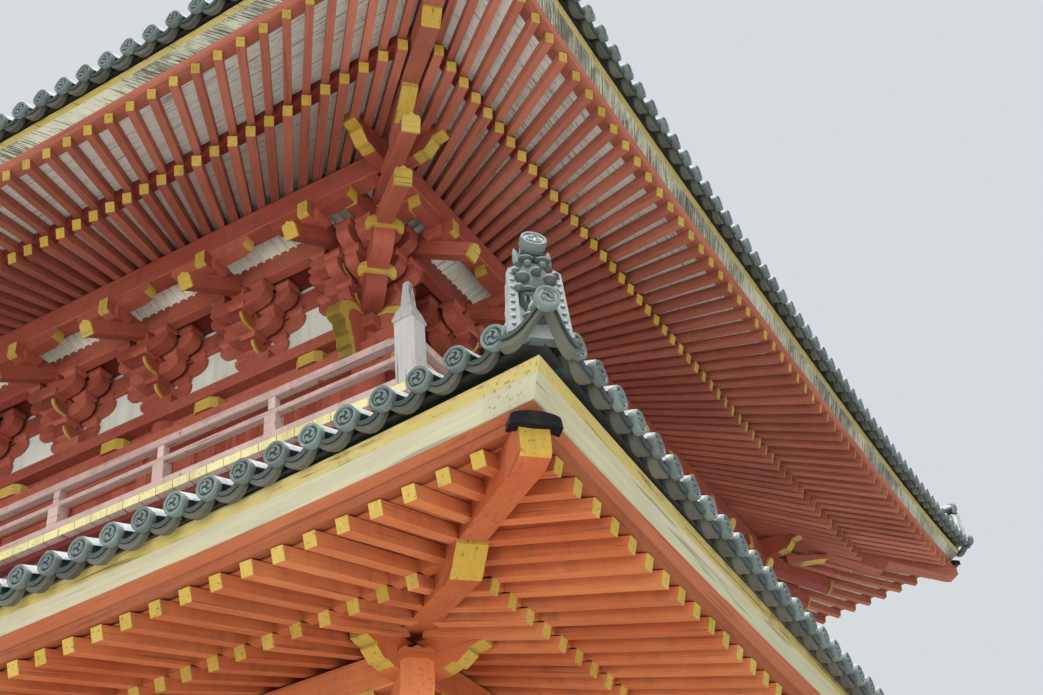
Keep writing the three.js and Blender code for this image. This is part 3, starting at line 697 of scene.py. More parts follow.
def buildTileField():  # rows of one tile up all four slopes, cut off at the hips
    tree, given, result = newGroup("tileField", "GeometryNodeTree", {
        "Geometry": "Geometry", "Tile": "Object", "Columns": 10, "Courses": 2, "Pitch": 0.25, "Step": 0.33,
        "Set Back": 0.0, "Hip Gap": 0.05, "Raise": 0.0, "Slant": 1.0, "Jitter": 0.01, "Seed": 1,
        "Finish": "Material", **roofShape}, {"Geometry": "Geometry"})
    columns, jitter, seed = given["Columns"], given["Jitter"], given["Seed"]
    index = addNode(tree, "GeometryNodeInputIndex")
    points = addNode(tree, "GeometryNodePoints", {"Count": columns * given["Courses"]})
    x = (calc("FLOORED_MODULO", index, columns) - (columns - 1) * 0.5) * given["Pitch"]
    course = calc("FLOOR", (index + 0.5) / columns)
    half = given["Tile Half"] - given["Set Back"] - course * given["Step"]
    probe = 0.05

    def height(half, x):
        shape = {name: given[name] for name in roofShape}
        return grouped(tree, roofHeightTree, {"Half": half, "X": x, **shape})["Height"]

    here = height(half, x)
    rise, lean = height(half - probe, x) - here, height(half, x + probe) - here
    beyond = calc("GREATER_THAN", abs(x), half - given["Hip Gap"])
    above = calc("LESS_THAN", half, given["Top Half"])
    points = addNode(tree, "GeometryNodeDeleteGeometry", {
        "Geometry": moved(points, vector(x, -half, here + given["Raise"])),
        "Selection": calc("MAXIMUM", beyond, above)}, domain="POINT")
    shake = [chance(tree, -jitter, jitter, seed + i) for i in range(3)]
    turn = vector(calc("ARCTAN2", rise, probe) * given["Slant"] + shake[0], -calc("ARCTAN2", lean, probe) + shake[1],
                  shake[2])
    source = addNode(tree, "GeometryNodeObjectInfo", {"Object": given["Tile"]}, "Geometry")
    tiles = addNode(tree, "GeometryNodeInstanceOnPoints", {"Points": points, "Instance": source, "Rotation": turn})
    solid = realized(remembered(tiles, "share", chance(tree, 0.0, 1.0, seed), "FLOAT", "INSTANCE"))
    share = recalled(tree, "share")
    solid = withGrain(remembered(solid, "tint", share), recalled(tree, "spot", "FLOAT_VECTOR"), share * 53.0)
    first = calc("LESS_THAN", addNode(tree, "GeometryNodeInputMaterialIndex"), 0.5)
    finish = {"Geometry": solid, "Selection": first, "Material": given["Finish"]}
    plug(result["Geometry"], addNode(tree, "GeometryNodeSetMaterial", finish))
    return tree


fourSides = buildFourSides()
rafterRow = buildRafterRow()
roofHeightTree = buildRoofHeight()
tileField = buildTileField()
print("node trees ready")

# Rafters, hips, eave boards and the boards above them
rafterSet = {
    "width": 0.085, "flyDepth": 0.096, "hipClear": 0.12, "flyHipWidth": 0.18, "soffitBoard": 0.014, "hair": 0.001,
    "perSide": 32,
}


def makeRafters(eave):
    name = eave["name"]
    common = {
        "Corner Lift": eave["rafterLift"], "Lift From": eave["purlinHalf"], "Lift To": eave["flyHalf"],
        "Fan": eave["fan"], "Hip Clear": rafterSet["hipClear"], "Wood": finishes[eave["rafterWood"]],
        "End Paint": finishes["yellow"],
    }
    grown(name + "BaseRafters", rafterRow, {
        **common, "Count": eave["baseCount"], "Pitch": eave["rafterPitch"], "Start Half": eave["wallHalf"] + 0.09,
        "End Half": eave["baseHalf"], "Slope": baseSlope, "End Height": eave["baseHeight"], "Seed": 3,
        "Width": rafterSet["width"], "Depth": rafterDepth}, [name + "_rafters"])
    flyPitch = eave["rafterPitch"] * (eave["flyHalf"] / eave["baseHalf"] if eave["fan"] else 1.0)
    grown(name + "FlyingRafters", rafterRow, {
        **common, "Count": eave["flyCount"], "Pitch": flyPitch, "Start Half": eave["baseHalf"] - 0.16,
        "End Half": eave["flyHalf"], "Slope": flySlope, "End Height": eave["flyHeight"], "Seed": 8,
        "Width": eave["flyWidth"], "Depth": rafterSet["flyDepth"]})


def makeEaveWood(eave):
    pile = Pile(21)
    half, thin, thick, perSide = rafterDepth / 2, rafterSet["hair"], rafterSet["soffitBoard"], rafterSet["perSide"]
    base, fly, lift = eave["baseHalf"], eave["flyHalf"], eave["rafterLift"]
    # boards on the base rafters, and on the flying rafters
    for rafterAt, inner, outer in ((baseRafterAt, eave["wallHalf"] + 0.08, base - 0.1),
                                   (flyRafterAt, base - 0.06, fly - 0.1)):
        squareRing(pile, [(reach, rafterAt(eave, reach) + half + rise, rafterLiftAt(eave, reach)) for reach, rise in (
            (inner, thin), (outer, thin), (outer, thick), (inner, thick))], eave["soffit"], perSide)
    # the beam on the base rafter ends
    front, liftBase = base - 0.03, rafterLiftAt(eave, base)
    top, foot = flyRafterAt(eave, front) + half, baseRafterAt(eave, front) + half
    squareRing(pile, [(base - 0.13, foot, liftBase), (front, foot, liftBase), (base - 0.02, top - 0.004, liftBase),
                      (base - 0.13, top + 0.02, liftBase)], eave["dark"], perSide)
    # the two beams on the flying rafter ends, up to the eave board; on the lower eave their red is a darker copy of
    # vermilion, painted shade
    low = eave["flyHeight"] + half
    rise = eave["boardHeight"] + half + 0.083 - low
    run = eave["boardHalf"] + 0.116 - fly
    topLift = 0.6 * eave["boardFootLift"] + 0.4 * eave["boardLift"]
    midLift = (lift + topLift) / 2
    squareRing(pile, [(fly - 0.13, low + rise * 0.45, midLift), (fly + run * 0.1, low, lift),
                      (fly + run * 0.3, low + 0.003, lift), (fly + run * 0.4, low + rise * 0.5, midLift),
                      (fly - 0.13, low + rise + 0.002, topLift)], eave["edgeWood"], perSide)
    squareRing(pile, [(fly - 0.1, low + rise * 0.52, midLift), (fly + run * 0.32, low + rise * 0.52, midLift),
                      (fly + run * 0.5, low + rise * 0.6, midLift), (fly + run, low + rise, topLift),
                      (fly - 0.1, low + rise + 0.017, topLift)], eave["edgeWood"], perSide)
    pile.piece(eave["name"] + "EaveBeams")


def makeEaveBoard(eave):  # the pale board with its yellow outer edge, under the tiles
    pile = Pile(22)
    half, low, edge = eave["boardHalf"], eave["boardHeight"] + rafterDepth / 2, eave["boardEdge"]
    foot, lift, board = eave["boardFootLift"], eave["boardLift"], eave["board"]
    outline = ((0.1, 0.085, foot), (0.113, 0.084, foot), (0.19 + edge * 0.6, 0.162 + edge, lift),
               (0.193 + edge * 0.6, 0.163 + edge, lift), (0.228, 0.226, lift), (0.224, 0.232, lift),
               (-0.05, 0.24, lift))
    squareRing(pile, [(half + out, low + up, rise) for out, up, rise in outline],
               [board, board, "yellowEdge", "yellowEdge", "yellowEdge", board, board], 40, eave is upperEave)
    pile.piece(eave["name"] + "EaveBoard", [eave["name"] + "_eave_board"])


def makeHips(eave):  # hip rafters under the corners, two tiers, with painted ends and a black metal cap
    pile = Pile(23)
    baseHalf, base, flyHalf, fly = eave["hip"]
    kind = eave["rafterWood"]
    start, low = (eave["purlinHalf"] + 0.05) * root2, (baseHalf + 0.14) * root2
    tip, out = (baseHalf + 0.3 - 0.08 * eave["fan"]) * root2, (flyHalf + 0.075) * root2
    back, rise = (baseHalf - 0.1) * root2, base + (tip - start) * baseSlope / root2
    prism(pile, [(start, rise), (start, rise - 0.2), (low, base - 0.18), (tip, base - 0.05), (tip, base + 0.06),
                 (tip - 0.3, base + 0.16)], eave["hipWidth"], hip, kind, {2: "yellow", 3: "yellow"})
    prism(pile, [(back, base + 0.2), (back, base + 0.03), (tip - 0.02, base - 0.02), (out - 0.14, fly - 0.17),
                 (out - 0.03, fly - 0.165), (out, fly - 0.14), (out, fly + 0.035), (out - 0.3, fly + 0.1)],
          rafterSet["flyHipWidth"], hip, kind, {4: "yellow", 5: "yellow"})
    arc = [(-0.148 * math.cos(i * math.pi / 10), 0.02 + 0.045 * math.sin(i * math.pi / 10)) for i in range(11)]
    foot = [(0.155, -0.04), (0.1, -0.022), (0.0, -0.028), (-0.1, -0.022), (-0.155, -0.04)]
    prism(pile, arc + foot, 0.09, hip @ at(out, 0, fly + 0.03, 90), "iron")
    if eave is upperEave:  # a painted timber end close under the hip
        outline = [(4.85 * root2, 11.8), (4.85 * root2, 11.69), (5.03 * root2, 11.72), (5.3 * root2, 11.8),
                   (5.3 * root2, 11.86)]
        prism(pile, outline, 0.15, hip, kind, {2: "yellow", 3: "yellow"})
    pile.quarters()
    pile.piece(eave["name"] + "HipRafters")


# Roof tiles
tileSet = {
    "pitch": 0.25, "step": 0.297, "length": 0.35, "coverRadius": 0.076, "coverTop": 0.068, "panDepth": 0.07,
    "panThick": 0.018, "discRadius": 0.08, "discDepth": 0.05, "lipLength": 0.3, "lipDepth": 0.068,
}
# rows of tiles: finish, more columns, whether one course only, set back, gap at the hip, height, slant, seed,
# jitter and the angle up to which they are smooth
tileRows = {
    "CoverTiles": ("tile", 0, False, 0.02, 0.1, 0.008, 1.0, 5, 0.012, 34),
    "PanTiles": ("troughTile", 1, False, 0.16, 0.06, 0.004, 1.0, 6, 0.008, 50),
    "LipTiles": ("lipTile", 1, True, 0.02, 0.3, 0.0, 0.9, 7, 0.012, 50),
    "RoundEndTiles": ("disc", 0, True, -0.002, 0.2, 0.01, 0.0, 9, 0.03, 34),
}


def coverTile(pile):  # a closed half barrel that runs up along Y
    steps = 8
    points = []
    for y, radius in ((0, tileSet["coverRadius"]), (tileSet["length"], tileSet["coverTop"])):
        for i in range(steps + 1):
            angle = math.pi * i / steps
            points.append((math.cos(angle) * radius, y, math.sin(angle) * radius * 1.04))
    count = steps + 1
    pile.add(points, loop(0, count)[:steps] + caps(count) + [[0, count, 2 * count - 1, count - 1]], "tile", None,
             [(y, x, z) for x, y, z in points])


def panTile(pile, slabs, steps, bow=0.0):  # shallow troughs from front, back, high and low of each
    halfWidth = tileSet["pitch"] / 2 - 0.012
    for front, back, high, low, kind in slabs:
        points = []
        for y in (front, back):
            bend = bow if y < 0.04 else 0
            upper = [(s * halfWidth, y + bend * (1 - s * s), tileSet["panDepth"] * (s * s - 1) - high)
                     for s in [2 * i / steps - 1 for i in range(steps + 1)]]
            points += upper + [(x, y, z - low + high) for x, y, z in upper[::-1]]
        count = len(points) // 2
        pile.add(points, loop(0, count) + caps(count), kind, None, [(y, x, z) for x, y, z in points])


def discTile(pile, place, kind="disc", radius=tileSet["discRadius"], depth=tileSet["discDepth"]):  # with three commas
    facing = place @ turned(90, "X")  # local Z becomes the way it faces
    rim = "discRim"
    profile = ((0.95, -depth), (1, -depth + 0.006), (1, 0.0), (0.96, 0.006), (0.78, 0.006), (0.73, -0.006))
    lathe(pile, [(0, -depth)] + [(radius * share, z) for share, z in profile] + [(0, -0.006)], 20, facing, rim)
    lathe(pile, [(0, -0.02), (radius * 0.735, -0.02), (radius * 0.735, -0.004), (0, -0.004)], 20, facing, kind)
    head = [(200 - 32 * j, 0.17, 0.3, 0.06) for j in range(7)]
    outer = [(-14 - 20 * j, 0.54 + 0.02 * j, 0, 0) for j in range(6)]
    inner = [(-100 + 24 * j, 0.52 - 0.045 * j, 0, 0) for j in range(4)]
    comma = [(radius * (x + reach * math.cos(math.radians(angle))),
              -radius * (y + reach * math.sin(math.radians(angle))))
             for angle, reach, x, y in head + outer + inner]
    for i in range(3):
        prism(pile, comma, 0.014, facing @ turned(120 * i) @ at(0, 0, -0.001, -90, "X"), rim)


def tileModels():  # one tile of each kind, to repeat
    models = {"CoverTiles": Pile(31), "PanTiles": Pile(32), "LipTiles": Pile(32), "RoundEndTiles": Pile(33)}
    thick, lip = tileSet["panThick"], tileSet["lipDepth"]
    coverTile(models["CoverTiles"])
    panTile(models["PanTiles"], [(0.012, tileSet["length"], 0.0, thick, "troughTile")], 4)
    panTile(models["LipTiles"], [
        (0.05, tileSet["lipLength"], 0.0, thick, "troughTile"), (0.0, 0.055, 0.0, lip * 0.4, "troughTile"),
        (0.014, 0.055, lip * 0.46, lip, "lipTile")], 6, -0.025)
    discTile(models["RoundEndTiles"], Matrix())
    return models


def makeTiles(eave):
    models = tileModels()
    columns = 2 * int((eave["tileHalf"] - 0.02) / tileSet["pitch"]) + 1
    for row, (finish, more, single, setBack, hipGap, lift, slant, seed, jitter, smoothTo) in tileRows.items():
        model = linked(row + "Model", models[row].mesh(row + "Model", smoothTo))
        nodes = [eave["name"] + "_roof"] if row == "CoverTiles" else []
        grown(eave["name"] + row, tileField, {
            "Tile": model, "Columns": columns + more, "Courses": 1 if single else eave["courses"],
            "Pitch": tileSet["pitch"], "Step": tileSet["step"], "Set Back": setBack, "Hip Gap": hipGap, "Raise": lift,
            "Slant": slant, "Jitter": jitter, "Seed": seed, "Finish": finishes[finish], "Tile Half": eave["tileHalf"],
            "Top Half": eave["topHalf"] + 0.02, "Foot": eave["discHeight"] - tileBed, "Top Height": eave["topHeight"],
            "Corner Lift": eave["tileLift"]}, nodes, smoothTo)
        bpy.data.objects.remove(model)
    # the bed's dark tile is painted shade in the gap between the tiles and the eave board
    bed = Pile(34)  # the boards and clay that carry the tiles
    over, under = [], []
    outer, rows = eave["tileHalf"] - 0.14, 10
    for i in range(rows + 1):
        half = outer - (outer - eave["topHalf"]) * i / rows
        over.append((half, roofHeight(eave, half) - 0.072, roofLift(eave, half)))
        under.append((half, roofHeight(eave, half) - (0.15 if i else 0.09), roofLift(eave, half)))
    squareRing(bed, over + under[::-1], "underTile", 32)
    bed.piece(eave["name"] + "RoofBed")


# Hip ridges: stacked flat tiles under a row of round ones, with the ornament at the foot
ridgeSet = {"layers": 4, "layerRise": 0.052, "tile": 0.34, "width": 0.2, "coverRadius": 0.082, "footBack": 0.15}


def makeRidges(eave):
    rise, layers, r = ridgeSet["layerRise"], ridgeSet["layers"], ridgeSet["coverRadius"]
    foot = eave["tileHalf"] - ridgeSet["footBack"]
    count = max(3, round((foot - eave["ridgeTop"]) * root2 / ridgeSet["tile"]))
    halves = [foot - 0.02 - (foot - 0.02 - eave["ridgeTop"]) * i / count for i in range(count + 1)]
    line = [Vector((half * root2, 0, roofHeight(eave, half, half))) for half in halves]
    pile = Pile(41)
    for a, b in zip(line, line[1:]):
        flat = (b - a).normalized()
        normal = Vector((flat.z, 0, -flat.x))
        for layer in range(layers):
            up = normal * (rise * (layer + 0.5) - 0.02)
            beam(pile, hip @ (a + up), hip @ (b + up - flat * 0.006), ridgeSet["width"] + 0.035 - 0.012 * layer,
                 rise - 0.014, "tile")
        top = rise * layers - 0.02
        beam(pile, hip @ (a + normal * top / 2), hip @ (b + normal * top / 2), ridgeSet["width"] - 0.05, top + 0.04,
             "plaster", edge=0.002)
        place, length = frameAlong(hip @ (a + normal * top), hip @ (b + normal * top))
        lathe(pile, [(0, -0.02), (r, -0.02), (r * 0.93, length * 0.9), (r * 0.9, length), (0, length)], 14,
              place @ turned(90, "Y"), "tile")
    ornament(pile, eave, foot)
    cornerTiles(pile, eave)
    pile.quarters()
    nodes = ["_ridge_front_right", "_ridge_back_right", "_ridge_back_left", "_ridge_front_left"]
    pile.piece(eave["name"] + "HipRidges", [eave["name"] + node for node in nodes])


def ball(pile, place, radii, kind, steps=10, rings=5):
    angles = [math.pi * (i / (rings + 1) - 0.5) for i in range(1, rings + 1)]
    profile = [(0, -1)] + [(math.cos(angle), math.sin(angle)) for angle in angles] + [(0, 1)]
    lathe(pile, profile, steps, place @ Matrix.Diagonal((*radii, 1)), kind)


# the lumps of the ornament's face: across, outwards and up, radii, finish, steps and rings
middleLumps = (
    ((0, 0.02, 0.24), (0.115, 0.06, 0.21)),  # head
    ((0, 0.075, 0.33), (0.032, 0.045, 0.03)),  # nose
    ((0, 0.05, 0.02), (0.1, 0.045, 0.035)),  # chin
)
sideLumps = (
    *[((0.154 - 0.0025 * i, 0.055, -0.05 + 0.054 * i), (0.016, 0.013, 0.016), "tile", 6, 3)  # beads
      for i in range(8)],
    ((0.045, 0.075, 0.395), (0.024, 0.022, 0.022), "discRim"),  # eyes
    ((0.05, 0.07, 0.43), (0.05, 0.035, 0.02)),  # brows
    ((0.08, 0.06, 0.29), (0.045, 0.05, 0.042)),  # cheeks
    ((0.118, 0.055, 0.335), (0.028, 0.035, 0.03), "ornamentTile", 8, 3),  # curls
    ((0.105, 0.055, 0.215), (0.032, 0.035, 0.034), "ornamentTile", 8, 3),
    ((0.055, 0.07, 0.2), (0.05, 0.03, 0.018), "ornamentTile", 8, 3),  # lip
)


def ornament(pile, eave, foot):  # a generic horned ridge-end tile with its round tile
    face = hip @ at(foot * root2, 0, roofHeight(eave, foot, foot))  # X points out along the hip
    side = face @ turned(90)  # local X runs across, local Y points back
    # the lumps of the face take the dark tile, painted crevice shade
    clay = "ornamentTile"

    def lump(sign, place, radii, finish=clay, steps=10, rings=5):
        ball(pile, side @ at(sign * place[0], -place[1], place[2]), radii, finish, steps, rings)

    def bar(half, out, height, depth, edge):
        beam(pile, side @ Vector((-half, -out, height)), side @ Vector((half, -out, height)), 0.05, depth, clay,
             edge=edge)

    outline = [(-0.175, -0.1), (-0.15, 0.32), (-0.12, 0.37), (0.12, 0.37), (0.15, 0.32), (0.175, -0.1)]
    prism(pile, outline, 0.07, side @ at(0, 0.02, 0), "tile")
    for values in middleLumps:
        lump(1, *values)
    bar(0.085, 0.07, 0.15, 0.022, 0.008)
    for sign in (-1, 1):
        flange = [(sign * x, z) for x, z in ((0.112, -0.08), (0.19, -0.11), (0.158, 0.36), (0.112, 0.385))]
        prism(pile, flange[::sign], 0.05, side @ at(0, -0.03, 0), "tile")
        for values in sideLumps:
            lump(sign, *values)
        horn = side @ at(sign * 0.09, -0.03, 0.42, math.degrees(sign * 0.12), "Y")
        lathe(pile, [(0.026, 0), (0.024, 0.04), (0.015, 0.09), (0, 0.125)], 8, horn, "discRim")
        for i in range(3):  # teeth
            tooth = side @ at(sign * (0.018 + 0.03 * i), -0.088 + 0.006 * i, 0.118)
            lathe(pile, [(0, -0.022), (0.008, 0.0), (0.011, 0.03)], 6, tooth, "discRim")
    for row in range(3):  # combed hair under the round tile
        bar(0.075 - 0.008 * row, 0.05, 0.455 + 0.026 * row, 0.016, 0.005)
    head = face @ at(-0.3, 0, 0.42, -20, "Y")  # the round tile on its bar
    lathe(pile, [(0, -0.1), (0.06, -0.1), (0.066, 0.3), (0.068, 0.4), (0, 0.4)], 16, head @ turned(90, "Y"), "tile")
    discTile(pile, head @ at(0.43, 0, 0, 90), "tile", 0.08, 0.06)


def cornerTiles(pile, eave):  # the lower round tile at the very corner, and the troughs that sweep up to it
    half = eave["tileHalf"]
    corner = hip @ at((half + 0.015) * root2, 0, roofHeight(eave, half, half) + 0.06)
    discTile(pile, corner @ turned(90), "tile", 0.075, 0.06)
    lathe(pile, [(0, 0.02), (0.062, 0.02), (0.062, 0.32), (0, 0.32)], 12,
          corner @ Matrix.Rotation(-math.pi / 2 + 0.25, 4, "Y"), "tile")
    last = int((half - 0.22) / tileSet["pitch"]) * tileSet["pitch"] + 0.03
    steps = 8
    for mirrored in (False, True):
        for low, high, back, finish in ((0.0, 0.026, 0.0, "troughTile"), (0.034, 0.072, 0.016, "lipTile")):
            upper, lower = [], []
            for share in [i / steps for i in range(steps + 1)]:
                x = last + (half + 0.02 - last) * share
                sag = 0.02 + 0.055 * math.sin(math.pi * min(1.0, share * 1.2)) * (1 - share * 0.5) - 0.045 * share
                height = roofHeight(eave, half, x) - sag + 0.06 * share * share
                for row, drop in ((upper, low), (lower, high)):
                    for depth in (back, back + 0.07):
                        a, b = x - depth * share, half + 0.02 - depth
                        row.append((b, -a, height - drop) if mirrored else (a, -b, height - drop))
            n = len(upper)
            faces = []
            for a in range(0, 2 * steps, 2):
                faces += [[a, a + 1, a + 3, a + 2], [n + a, n + a + 2, n + a + 3, n + a + 1],
                          [a, a + 2, n + a + 2, n + a], [a + 1, n + a + 1, n + a + 3, a + 3]]
            pile.add(upper + lower, faces + [[0, n, n + 1, 1], [n - 2, n - 1, 2 * n - 1, 2 * n - 2]], finish)


# Brackets under the eaves
bracketSizes = {
    "width": 0.15, "depth": 0.16, "blockWidth": 0.19, "blockHeight": 0.088, "bigBlock": 0.38, "bigHeight": 0.12,
    "tailRise": 0.58, "tailEnd": 4.96, "tailHeight": 11.14,
}
armCurve = ((1.0, 0.3), (0.98, 0.55), (0.925, 0.78), (0.83, 0.94), (0.66, 1.0))
wavyHalf = ((-1, -1), (-1, 0.5), (-0.78, 0.86), (-0.45, 0.84), (0, 1.12))
crownHalf = ((-0.62, -0.5), (-0.8, -0.95), (-1, -1), (-1.04, -0.2), (-0.9, 0.5), (-0.62, 0.95), (-0.3, 0.7),
             (0, 1.15))


def bearing(pile, place, width, height, kind):  # a block with straight top and tapered foot, its top at 0
    profile = ((0.7, -1), (0.78, -0.75), (1, -0.45), (1, 0))
    squarePost(pile, [(width / 2 * x, height * z) for x, z in profile], place, kind)


def armEnd(length, depth):
    tip = max(0.0, length - depth * 1.3)
    return [(tip + (length - tip) * (x - 0.66) / 0.34, -depth * z) for x, z in armCurve]


def arm(pile, place, halfLength, depth, width, kind, endKind=None, oneWay=False):  # its top is at 0, ends curved up
    right = armEnd(halfLength, depth)
    left = [(-0.1, -depth)] if oneWay else [(-x, z) for x, z in reversed(right)]
    outline = [(halfLength, 0)] + right + left + [(left[-1][0], 0)]
    painted = [] if not endKind else [0, 1, 2] if oneWay else [0, 1, 2] + [len(outline) - i for i in (2, 3, 4)]
    prism(pile, outline, width, place, kind, dict.fromkeys(painted, endKind))


def outwardArm(pile, place, reach, kind, endKind):  # one way, its curved end edged with a painted line
    depth, width = bracketSizes["depth"], bracketSizes["width"]
    arm(pile, place, reach, depth, width, kind, endKind, True)
    curve = armEnd(reach, depth)
    line = [(x + 0.003, z - 0.003) for x, z in curve] + [(x - 0.025, z + 0.02) for x, z in reversed(curve)]
    prism(pile, line, 0.024, place @ at(0, width / 2 - 0.006, 0), "yellow")


def endPlate(pile, place, width, height, half, thick, kind="yellow"):  # painted, scalloped, facing along local X
    left = [(x * width / 2, z * height / 2) for x, z in half]
    prism(pile, left + [(-x, z) for x, z in left[-2::-1]], thick, place @ turned(90), kind)


def rail(pile, left, right, y, z, width, depth, kind, **more):  # a level beam across the front
    beam(pile, (left, y, z), (right, y, z), width, depth, kind, **more)


def upright(pile, x, y, low, high, width, depth, kind, **more):
    beam(pile, (x, y, low), (x, y, high), width, depth, kind, **more)


def bracketSet(pile, eave, place):  # X across the wall, -Y outwards, at the wall's middle line
    kind, size = eave["wood"], bracketSizes
    depth, wide, cushion = size["depth"], size["blockWidth"], size["blockHeight"]
    outward = turned(-90)
    planes = (0.0, *eave["reaches"])
    bearing(pile, place @ at(0, 0, eave["plate"] + size["bigHeight"]), size["bigBlock"], size["bigHeight"], kind)
    for tier, plane, half in eave["arms"]:
        top = eave["levels"][tier] + depth - (0.035 if plane == 2 and eave is upperEave else 0.0)
        arm(pile, place @ at(0, -planes[plane], top), half, depth, size["width"] - 0.01, kind,
            "yellow" if eave is lowerEave and tier == 2 else None)
        for x in (wide / 2 - half, 0, half - wide / 2):
            bearing(pile, place @ at(x, -planes[plane], top + cushion), wide, cushion, kind)
    for reach, level in zip(eave["reaches"], eave["levels"]):
        top = level + depth + 0.002
        outwardArm(pile, place @ at(0, 0, top) @ outward, reach + 0.1, kind, eave["dark"])
        bearing(pile, place @ at(0, -reach, top + cushion), wide + 0.01, cushion, kind)
    out = eave["purlinHalf"] - eave["wallHalf"]
    under = purlinTopOf(eave) - eave["purlinDepth"]
    if eave is lowerEave:
        low = under - 0.06
        beam(pile, place @ Vector((0, -0.3, low)), place @ Vector((0, -out - 0.22, low)), 0.12, 0.12, kind,
             (kind, "yellow"))
        return
    reach = size["tailEnd"] - eave["wallHalf"]  # the tail rafter, what it carries and the beam end above
    tail = place @ Vector((0, -reach, size["tailHeight"]))
    inside = place @ Vector((0, 0.1, size["tailHeight"] + (reach + 0.1) * size["tailRise"]))
    beam(pile, inside, tail, 0.125, 0.15, kind, edge=0.006)
    end, length = frameAlong(inside, tail)
    endPlate(pile, end @ at(length, 0, 0), 0.14, 0.165, wavyHalf, 0.03)
    bearing(pile, place @ at(0, -out, under - 0.12), 0.22, 0.12, kind)
    arm(pile, place @ at(0, -out - 0.03, under - 0.002), 0.47, 0.14, 0.13, kind, "yellow")
    nose = ((0.06, -0.06), (0.06, -0.21), (1.02, -0.24), (1.065, -0.22), (1.065, -0.07))
    prism(pile, [(x, under + z) for x, z in nose], 0.115, place @ outward, kind, {2: "yellow", 3: "yellow"})


def purlinNose(pile, eave, place):  # the purlin's stepped and painted end, from the crossing outwards
    top, base = purlinTopOf(eave), eave["noseBase"]
    low = top - eave["purlinDepth"]
    outline = [(-0.1, top), (-0.1, low), (0.22, low), (0.32, low + 0.006), (0.41, low + 0.03), (0.42, low + 0.015),
               (0.445, low + 0.02), (0.535, base), (0.53, base + 0.03), (0.56, base + 0.02), (0.655, base + 0.04),
               (0.66, base + 0.14), (0.6, base + 0.17), (0.4, top)]
    prism(pile, outline, 0.14, place, eave["wood"], dict.fromkeys(range(3, 12), "yellow"))


def makeBrackets(eave):
    pile = Pile(51)
    wallHalf, purlinHalf, kind, dark = eave["wallHalf"], eave["purlinHalf"], eave["wood"], eave["dark"]
    purlinTop, purlinDepth = purlinTopOf(eave), eave["purlinDepth"]
    for i in range(-2, 3):
        bracketSet(pile, eave, at(i * wallHalf / 3, -wallHalf, 0))
    for degrees in (0, 90):
        bracketSet(pile, eave, at(wallHalf, -wallHalf, 0, degrees))
    cornerArms(pile, eave)
    rail(pile, -purlinHalf - 0.06, purlinHalf + 0.06, -purlinHalf, purlinTop - purlinDepth / 2, 0.2, purlinDepth,
         kind, edge=0.012)
    for degrees in (0, -90):
        purlinNose(pile, eave, at(purlinHalf, -purlinHalf, 0, degrees))
    out, low, high = eave["through"]  # the beam through all the sets, on the outermost row but one
    rail(pile, -out - 0.42, out + 0.42, -out, (low + high) / 2, 0.13, high - low, kind, ends=("yellow", "yellow"))
    if eave is upperEave:  # ribs on the sloping plaster
        for i in range(-41, 42):
            beam(pile, (i * 0.1, -out - 0.06, high - 0.035), (i * 0.1, -purlinHalf + 0.08, purlinTop - 0.105), 0.024,
                 0.03, "whitePlaster", edge=0.003)
    pile.quarters()
    wallTop = purlinTop + (purlinHalf - wallHalf) * baseSlope - 0.06
    ringBeam(pile, wallHalf - 0.05, wallHalf + 0.03, eave["plate"], wallTop, "plaster", 0.002)
    ringBeam(pile, wallHalf - 0.06, wallHalf + 0.075, eave["levels"][2] - 0.035, eave["levels"][2] + 0.2, kind)
    # plaster above that beam, and the dark little ceiling behind it
    if eave is lowerEave:
        rise = (purlinHalf - out) * baseSlope
        ringBeam(pile, out - 0.02, out + 0.02, high - 0.02, purlinTop + rise - 0.02, "plaster", 0.002)
    else:
        # this plaster is the brighter copy, painted light in the shaded recess
        inner, outer = out + 0.04, purlinHalf - 0.08
        squareRing(pile, [(inner, high - 0.03, 0), (outer, purlinTop - 0.09, 0), (outer, purlinTop - 0.05, 0),
                          (inner, high + 0.01, 0)], "whitePlaster", 4)
    ringBeam(pile, wallHalf, out, low + 0.06, low + 0.1, dark, 0.002)
    if eave is lowerEave:
        ringBeam(pile, out, purlinHalf, purlinTop - 0.05, purlinTop - 0.01, dark, 0.002)
    pile.piece(eave["name"] + "Brackets", [eave["name"] + "_brackets"])


